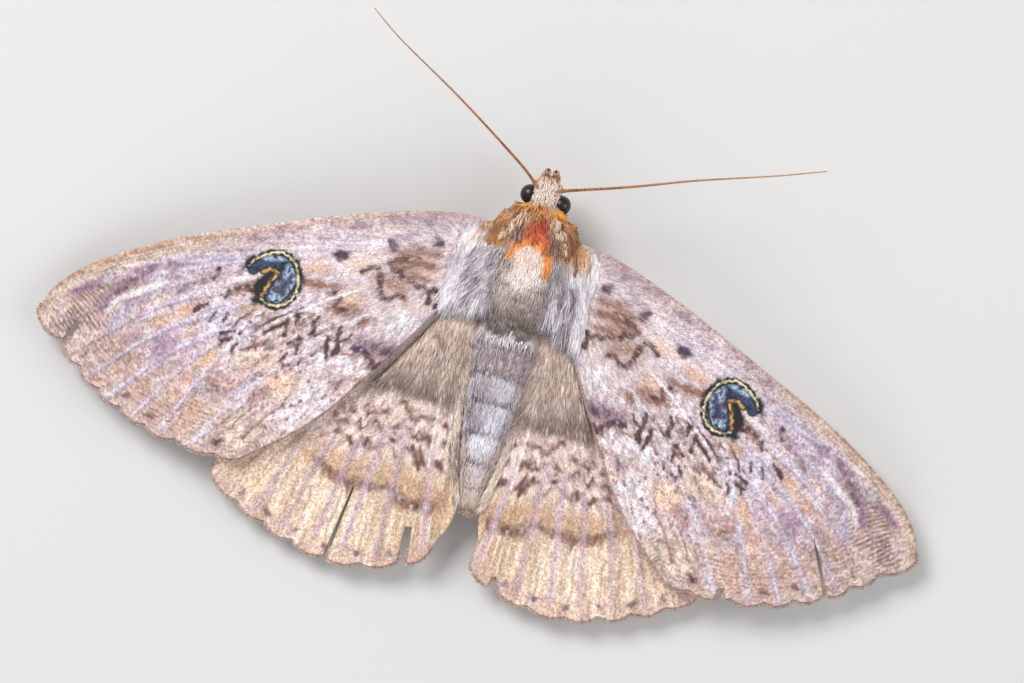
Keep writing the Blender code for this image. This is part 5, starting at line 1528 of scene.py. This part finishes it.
# %% Grow the fringes
def wing_fringe(wing, word, seed):
    """Short tufts standing out from a wing's outer margin."""
    side = SIDES[word]
    height = WINGS[wing][3]
    draw = np.random.default_rng(seed)
    outline = np.array(refine(OUTLINES[wing + "_" + word], 0.1))
    along = np.roll(outline, -1, 0) - outline
    outward = unit(np.stack((-along[:, 1], along[:, 0]), -1))
    at_home = home(outline, wing, side)
    margin = reach(at_home, WINGS[wing][1]) < SCALLOP + 0.25
    inner = reach(at_home, FORE_INNER) < 0.2 if wing == "forewing" else np.zeros(len(outline), bool)
    chosen = np.flatnonzero(margin | inner)
    chosen = np.repeat(chosen, 3)
    count = len(chosen)
    spots = outline[chosen] + outward[chosen] * draw.uniform(-0.12, 0.0, count)[:, None]
    sign = side["sign"]
    up = height(*spots.T) + relief(home(spots, wing, side), WINGS[wing][0], WINGS[wing][1],
                                   5) + draw.uniform(-0.05, 0.04, count)
    roots = model_points(sign * spots[:, 0], spots[:, 1], up)
    flow = np.stack((sign * outward[chosen, 0], -outward[chosen, 1], draw.normal(0, 0.08, count)), -1)
    flow[:, :2] += draw.normal(0, 0.2, (count, 2))
    coat = lay(WINGS[wing][2](home(spots, wing, side)), np.full(count, 0.6), ink(214, 184, 170))
    coat = lay(coat, (draw.random(count) > 0.86) * 0.5, DARK_BROWN)
    lengths = np.where(inner[chosen], 0.24, 0.34) * draw.uniform(0.7, 1.3, count)
    patch = (spots - spots.min(0)) / 45.0
    return grow(wing + "_fringe_" + word, coat, FUR, roots,
                np.tile((0.0, 0.0, 1.0), (count, 1)), flow, lengths,
                0.09 * draw.uniform(0.7, 1.3, count), np.full(count,
                        0.02), 0.05, patch, seed, rest=False, shade=0.9)


for number, word in enumerate(SIDES):
    wing_fringe("forewing", word, 141 + number)
    wing_fringe("hindwing", word, 151 + number)

# %% [markdown]
# ## Eyes, antennae, palps and tongue
#
# The compound eyes are glossy domes of tiny facets, kept smooth in the mesh with the facets as bump. The
# antennae are threads of short joints, each a slight bead, so the wrapped tube swells and narrows along
# them.


# %% Eyes
def eye_material():
    """Glossy black-brown facets."""
    made, tree, shader = new_material("glossy facets", 0.34)
    shader.inputs["Base Color"].default_value = (*ink(34, 22, 26), 1.0)
    shader.inputs["Coat Weight"].default_value = 0.12
    place = node(tree, "TexCoord")
    facets = node(tree, "TexVoronoi", {"Scale": 14000.0})
    link(tree, place, "Object", facets, "Vector")
    bump = bump_of(tree, facets, "Distance", 0.25, 0.00002, shader)
    bump.invert = True
    return made


EYE = eye_material()
for word, side in SIDES.items():
    bm = bmesh.new()
    bmesh.ops.create_uvsphere(bm, u_segments=64, v_segments=32, radius=EYE_RADIUS * MM)
    middle = model_points(*EYE_PLACES[word]) * MM
    bmesh.ops.translate(bm, vec=Vector(middle), verts=bm.verts[:])
    eye = bpy.data.meshes.new("eye_" + word)
    bm.to_mesh(eye)
    bm.free()
    show("eye_dome_" + word, eye, (EYE,), ("eye_" + word,))
print("eyes at", [round(float(c), 2) for c in middle / MM])


# %% Tubes along a route
def spokes(line, k, turn):
    """Directions straight out of a line at its points k, turned round it."""
    along = unit(np.gradient(line, axis=0))
    across = unit(np.cross(along, np.array((0.0, 0.0, 1.0)) + 1e-3))
    above = np.cross(across, along)
    return across[k] * np.cos(turn)[:, None] + above[k] * np.sin(turn)[:, None]


def tube(name, line, radii, around=12):
    """A closed tube along a line of points, with a radius at each."""
    line, radii = np.array(line), np.array(radii, float)
    radii[0] = radii[-1] = 0.01

    def place(turn, share):
        k = np.clip(np.rint(share * (len(line) - 1)).astype(int), 0, len(line) - 1)
        return line[k] + radii[k][:, None] * spokes(line, k, turn)

    return wrap(name, around + 1, len(line), place)


ANTENNA_ROUTES = {
    "left": ((0.72, 6.62, 7.02), (2.7, 8.1, 7.6), (8.75, 11.9, 8.6), (15.0, 15.5, 8.4), (18.0, 17.6, 7.9)),
    "right": ((-1.45, 6.6, 7.02), (-7.0, 8.4, 7.7), (-12.5, 10.4, 8.6), (-18.8, 12.5, 8.4),
              (-23.1, 14.1, 7.9)),
}
ANTENNA = coat_material("dull antenna joints", 0.5, 0.0)
LEG = coat_material("scaly legs", 0.6, 0.1)


def route_line(route, step):
    """A smooth line of model points along a route of side, ahead and up."""
    line = np.array(curve(route, step))
    return model_points(*line.T)


for word, route in ANTENNA_ROUTES.items():
    line = route_line(route, 0.06)
    share = np.linspace(0, 1, len(line))
    beads = 0.5 + 0.5 * np.cos(2 * math.pi * np.arange(len(line)) / 6)
    radii = (0.14 - 0.09 * share) * (0.86 + 0.14 * beads) + 0.1 * np.exp(-share * 60)
    mesh = tube("antenna_" + word, line, radii, 10)
    side, ahead = spots_of(mesh)[:2]
    shade = cloud(side * 3, ahead * 3, 0.6, 3)
    coat = lay(np.tile(ink(176, 112, 62), (len(side), 1)), 0.4 + 0.6 * shade, ink(120, 72, 40))
    coat = lay(coat, np.clip(np.abs(side) / 22.0 - 0.2, 0, 0.6), ink(206, 160, 116))
    set_colours(mesh, "pattern", coat)
    show("antenna_thread_" + word, mesh, (ANTENNA,), ("antenna_" + word,))
    print("antenna", word, len(mesh.polygons), "faces")


PALP_STEPS = (
    (0.72, 6.4, 3.55), (0.68, 7.0, 3.6), (0.6, 7.5, 4.1), (0.55, 7.7, 4.8), (0.45, 7.85, 5.4),
    (0.38, 8.0, 5.9),
)


def palp_line(side):
    """The curved line down the middle of a palp."""
    steps = np.array(PALP_STEPS)
    steps[:, 0] = HEAD_SIDE + side["sign"] * steps[:, 0]
    return route_line(steps, 0.08)


for word, side in SIDES.items():
    line = palp_line(side)
    radii = np.interp(np.linspace(0, 1, len(line)), (0, 0.2, 0.5, 0.8, 1), (0.22, 0.28, 0.27, 0.2, 0.05))
    mesh = tube("palp_" + word, line, radii, 12)
    set_colours(mesh, "pattern", np.tile(ink(150, 112, 92), (len(mesh.vertices), 1)))
    show("palp_core_" + word, mesh, (FUR,), ("palp_" + word,))

turns = np.radians(95 + 19 * np.linspace(0, 14, 90))
radius = 0.6 - 0.008 * np.linspace(0, 14, 90)
line = model_points(HEAD_SIDE, 5.45 + np.cos(turns) * radius, 2.95 + np.sin(turns) * radius)
mesh = tube("proboscis", line, 0.15 + 0.02 * np.cos(np.arange(90) * 2.1), 12)
set_colours(mesh, "pattern", np.tile(ink(150, 96, 58), (len(mesh.vertices), 1)))
show("tongue_coil", mesh, (ANTENNA,), ("proboscis",))

# %% [markdown]
# ## Legs
#
# The photo hides the legs under the wings, so they follow the family: a stout femur and tibia with rough
# scales, and a thin foot of five joints that lies flat on the floor.

# %% Legs with scales
LEGS = {
    "foreleg": ((1.2, 2.3, 2.45), (4.1, 1.3, 2.9), (3.7, 1.9, 0.8), (3.2, 2.5, 0.16), (2.0, 4.0, 0.16)),
    "midleg": ((1.5, 0.4, 2.35), (4.8, -0.8, 3.0), (7.2, -2.2, 0.7), (8.0, -2.7, 0.16), (10.2, -3.9, 0.16)),
    "hindleg": ((1.5, -2.2, 2.4), (4.5, -6.4, 2.7), (6.6, -12.4, 0.7), (7.0, -13.2, 0.16),
                (8.2, -16.6, 0.16)),
}
LEG_STEPS, LEG_TUFTS, PALP_TUFTS = 24, 620, 1100
LEG_RADII = ((0.4, 0.42, 0.4), (0.34, 0.4, 0.36), (0.3, 0.28, 0.28), (0.28, 0.28, 0.26))


def make_leg(leg, word, seed):
    """A leg's core tube, its joints pinched, and the scales that lie along it."""
    sign = SIDES[word]["sign"]
    route = np.array(LEGS[leg])
    route[:, 0] = BODY_SIDE + sign * route[:, 0]
    line, radii = [], []
    for k, (a, b) in enumerate(zip(route, route[1:])):
        share = np.linspace(0, 1, LEG_STEPS, endpoint=False)
        line.append(a + (b - a) * share[:, None])
        swell = np.interp(share, (0, 0.35, 0.8, 1), (*LEG_RADII[k], LEG_RADII[k][2])) * 0.8
        if k == 3:
            swell = swell * (0.8 + 0.12 * np.cos(share * 10 * math.pi))
        pinch = 1.0 - 0.22 * np.exp(-share * 30) * (k > 0)
        radii.append(np.minimum(swell, 0.26 if k >= 2 else 1.0) * pinch)
    line = model_points(*np.concatenate(line).T)
    radii = np.concatenate(radii)
    line[:, 2] = np.maximum(line[:, 2], radii + 0.005)
    mesh = tube(leg + "_" + word, line, radii, 12)
    side, ahead = spots_of(mesh)[:2]
    coat = lay(np.tile(ink(134, 100, 78), (len(side), 1)), 0.5 + 0.5 * cloud(side * 2, ahead * 2, 1.0,
            seed), ink(188, 156, 128))
    set_colours(mesh, "pattern", coat)
    show(leg + "_core_" + word, mesh, (LEG,), (leg + "_" + word,))
    draw = np.random.default_rng(seed)
    count = LEG_TUFTS
    k = draw.integers(1, 66, count)
    turn = draw.uniform(0, 2 * math.pi, count)
    normals = spokes(line, k, turn)
    roots = line[k] + normals * radii[k][:, None] * 0.95
    flow = unit(np.gradient(line, axis=0))[k] + draw.normal(0, 0.1, (count, 3))
    rings = np.where((k // 8) % 2 == 0, 1.0, 0.0)
    coat = lay(np.tile(ink(132, 98, 78), (count, 1)), rings * 0.7, ink(204, 176, 148))
    patch = np.stack((turn / 6.3, k / 70.0), -1)
    return grow(leg + "_scales_" + word, coat, FUR, roots, normals, flow,
                draw.uniform(0.5, 0.95, count),
                np.full(count, 0.14), np.full(count, 0.1), 0.0, patch, seed, rest=False)


for number, word in enumerate(SIDES):
    for k, leg in enumerate(LEGS):
        make_leg(leg, word, 160 + 10 * number + k)

# %% Scales on the palps
for number, (word, side) in enumerate(SIDES.items()):
    line = palp_line(side)
    draw = np.random.default_rng(181 + number)
    count = PALP_TUFTS
    k = draw.integers(1, len(line) - 2, count)
    turn = draw.uniform(0, 2 * math.pi, count)
    normals = spokes(line, k, turn)
    coat = lay(np.tile(ink(180, 134, 112), (count, 1)), draw.random(count), ink(232, 196, 172))
    grow("palp_scales_" + word, coat, FUR, line[k] + normals * 0.15, normals,
         unit(np.gradient(line, axis=0))[k],
         draw.uniform(0.4, 0.85, count), np.full(count, 0.1), np.full(count, 0.24), 0.0,
         np.stack((turn / 6.3, k / len(line)), -1), 181 + number, rest=False)

# %% [markdown]
# ## Floor, light and camera
#
# The moth stands on a plain pale floor under soft studio light. The camera looks straight down on it and is
# turned as the moth lies in the photo.

# %% Stage
VIEW_MIDDLE = (-0.78, 0.85)  # the photo's middle on the moth, in millimetres
VIEW_TURN = 195.0  # the moth's head points up and a little to the photo's right
VIEW_RISE = 251.3
VIEW_LENS = 100.0

bpy.ops.mesh.primitive_plane_add(size=6.0, location=(0.0, 0.0, 0.0))
floor = bpy.context.active_object
floor.name = "floor"
paper, tree, shader = new_material("pale paper", 0.85)
shader.inputs["Base Color"].default_value = (0.72, 0.71, 0.69, 1.0)
floor.data.materials.append(paper)


def lamp(name, place, size, watts):
    """A soft square light that faces the moth."""
    light = bpy.data.lights.new(name, "AREA")
    light.size = size
    light.energy = watts
    thing = bpy.data.objects.new(name, light)
    thing.location = place
    thing.rotation_euler = (-Vector(place)).to_track_quat("-Z", "Y").to_euler()
    bpy.context.scene.collection.objects.link(thing)


lamp("key light", (0.30, -0.24, 0.42), 0.25, 2.5)
lamp("fill light", (-0.42, -0.05, 0.36), 0.4, 1.1)
lamp("back light", (0.05, 0.45, 0.30), 0.4, 0.75)
world = bpy.data.worlds.new("studio")
world.use_nodes = True
world.node_tree.nodes["Background"].inputs["Color"].default_value = (0.9, 0.93, 1.0, 1.0)
world.node_tree.nodes["Background"].inputs["Strength"].default_value = 0.3
bpy.context.scene.world = world
bpy.context.scene.view_settings.view_transform = "Standard"

lens = bpy.data.cameras.new("camera")
lens.lens = VIEW_LENS
lens.clip_start = 0.01
camera = bpy.data.objects.new("camera", lens)
camera.matrix_world = (Matrix.Translation((VIEW_MIDDLE[0] * MM, VIEW_MIDDLE[1] * MM, VIEW_RISE * MM))
                       @ Matrix.Rotation(math.radians(VIEW_TURN), 4, "Z"))
bpy.context.scene.collection.objects.link(camera)
bpy.context.scene.camera = camera
print("camera mm above the floor:", VIEW_RISE, "turned by", VIEW_TURN, "degrees")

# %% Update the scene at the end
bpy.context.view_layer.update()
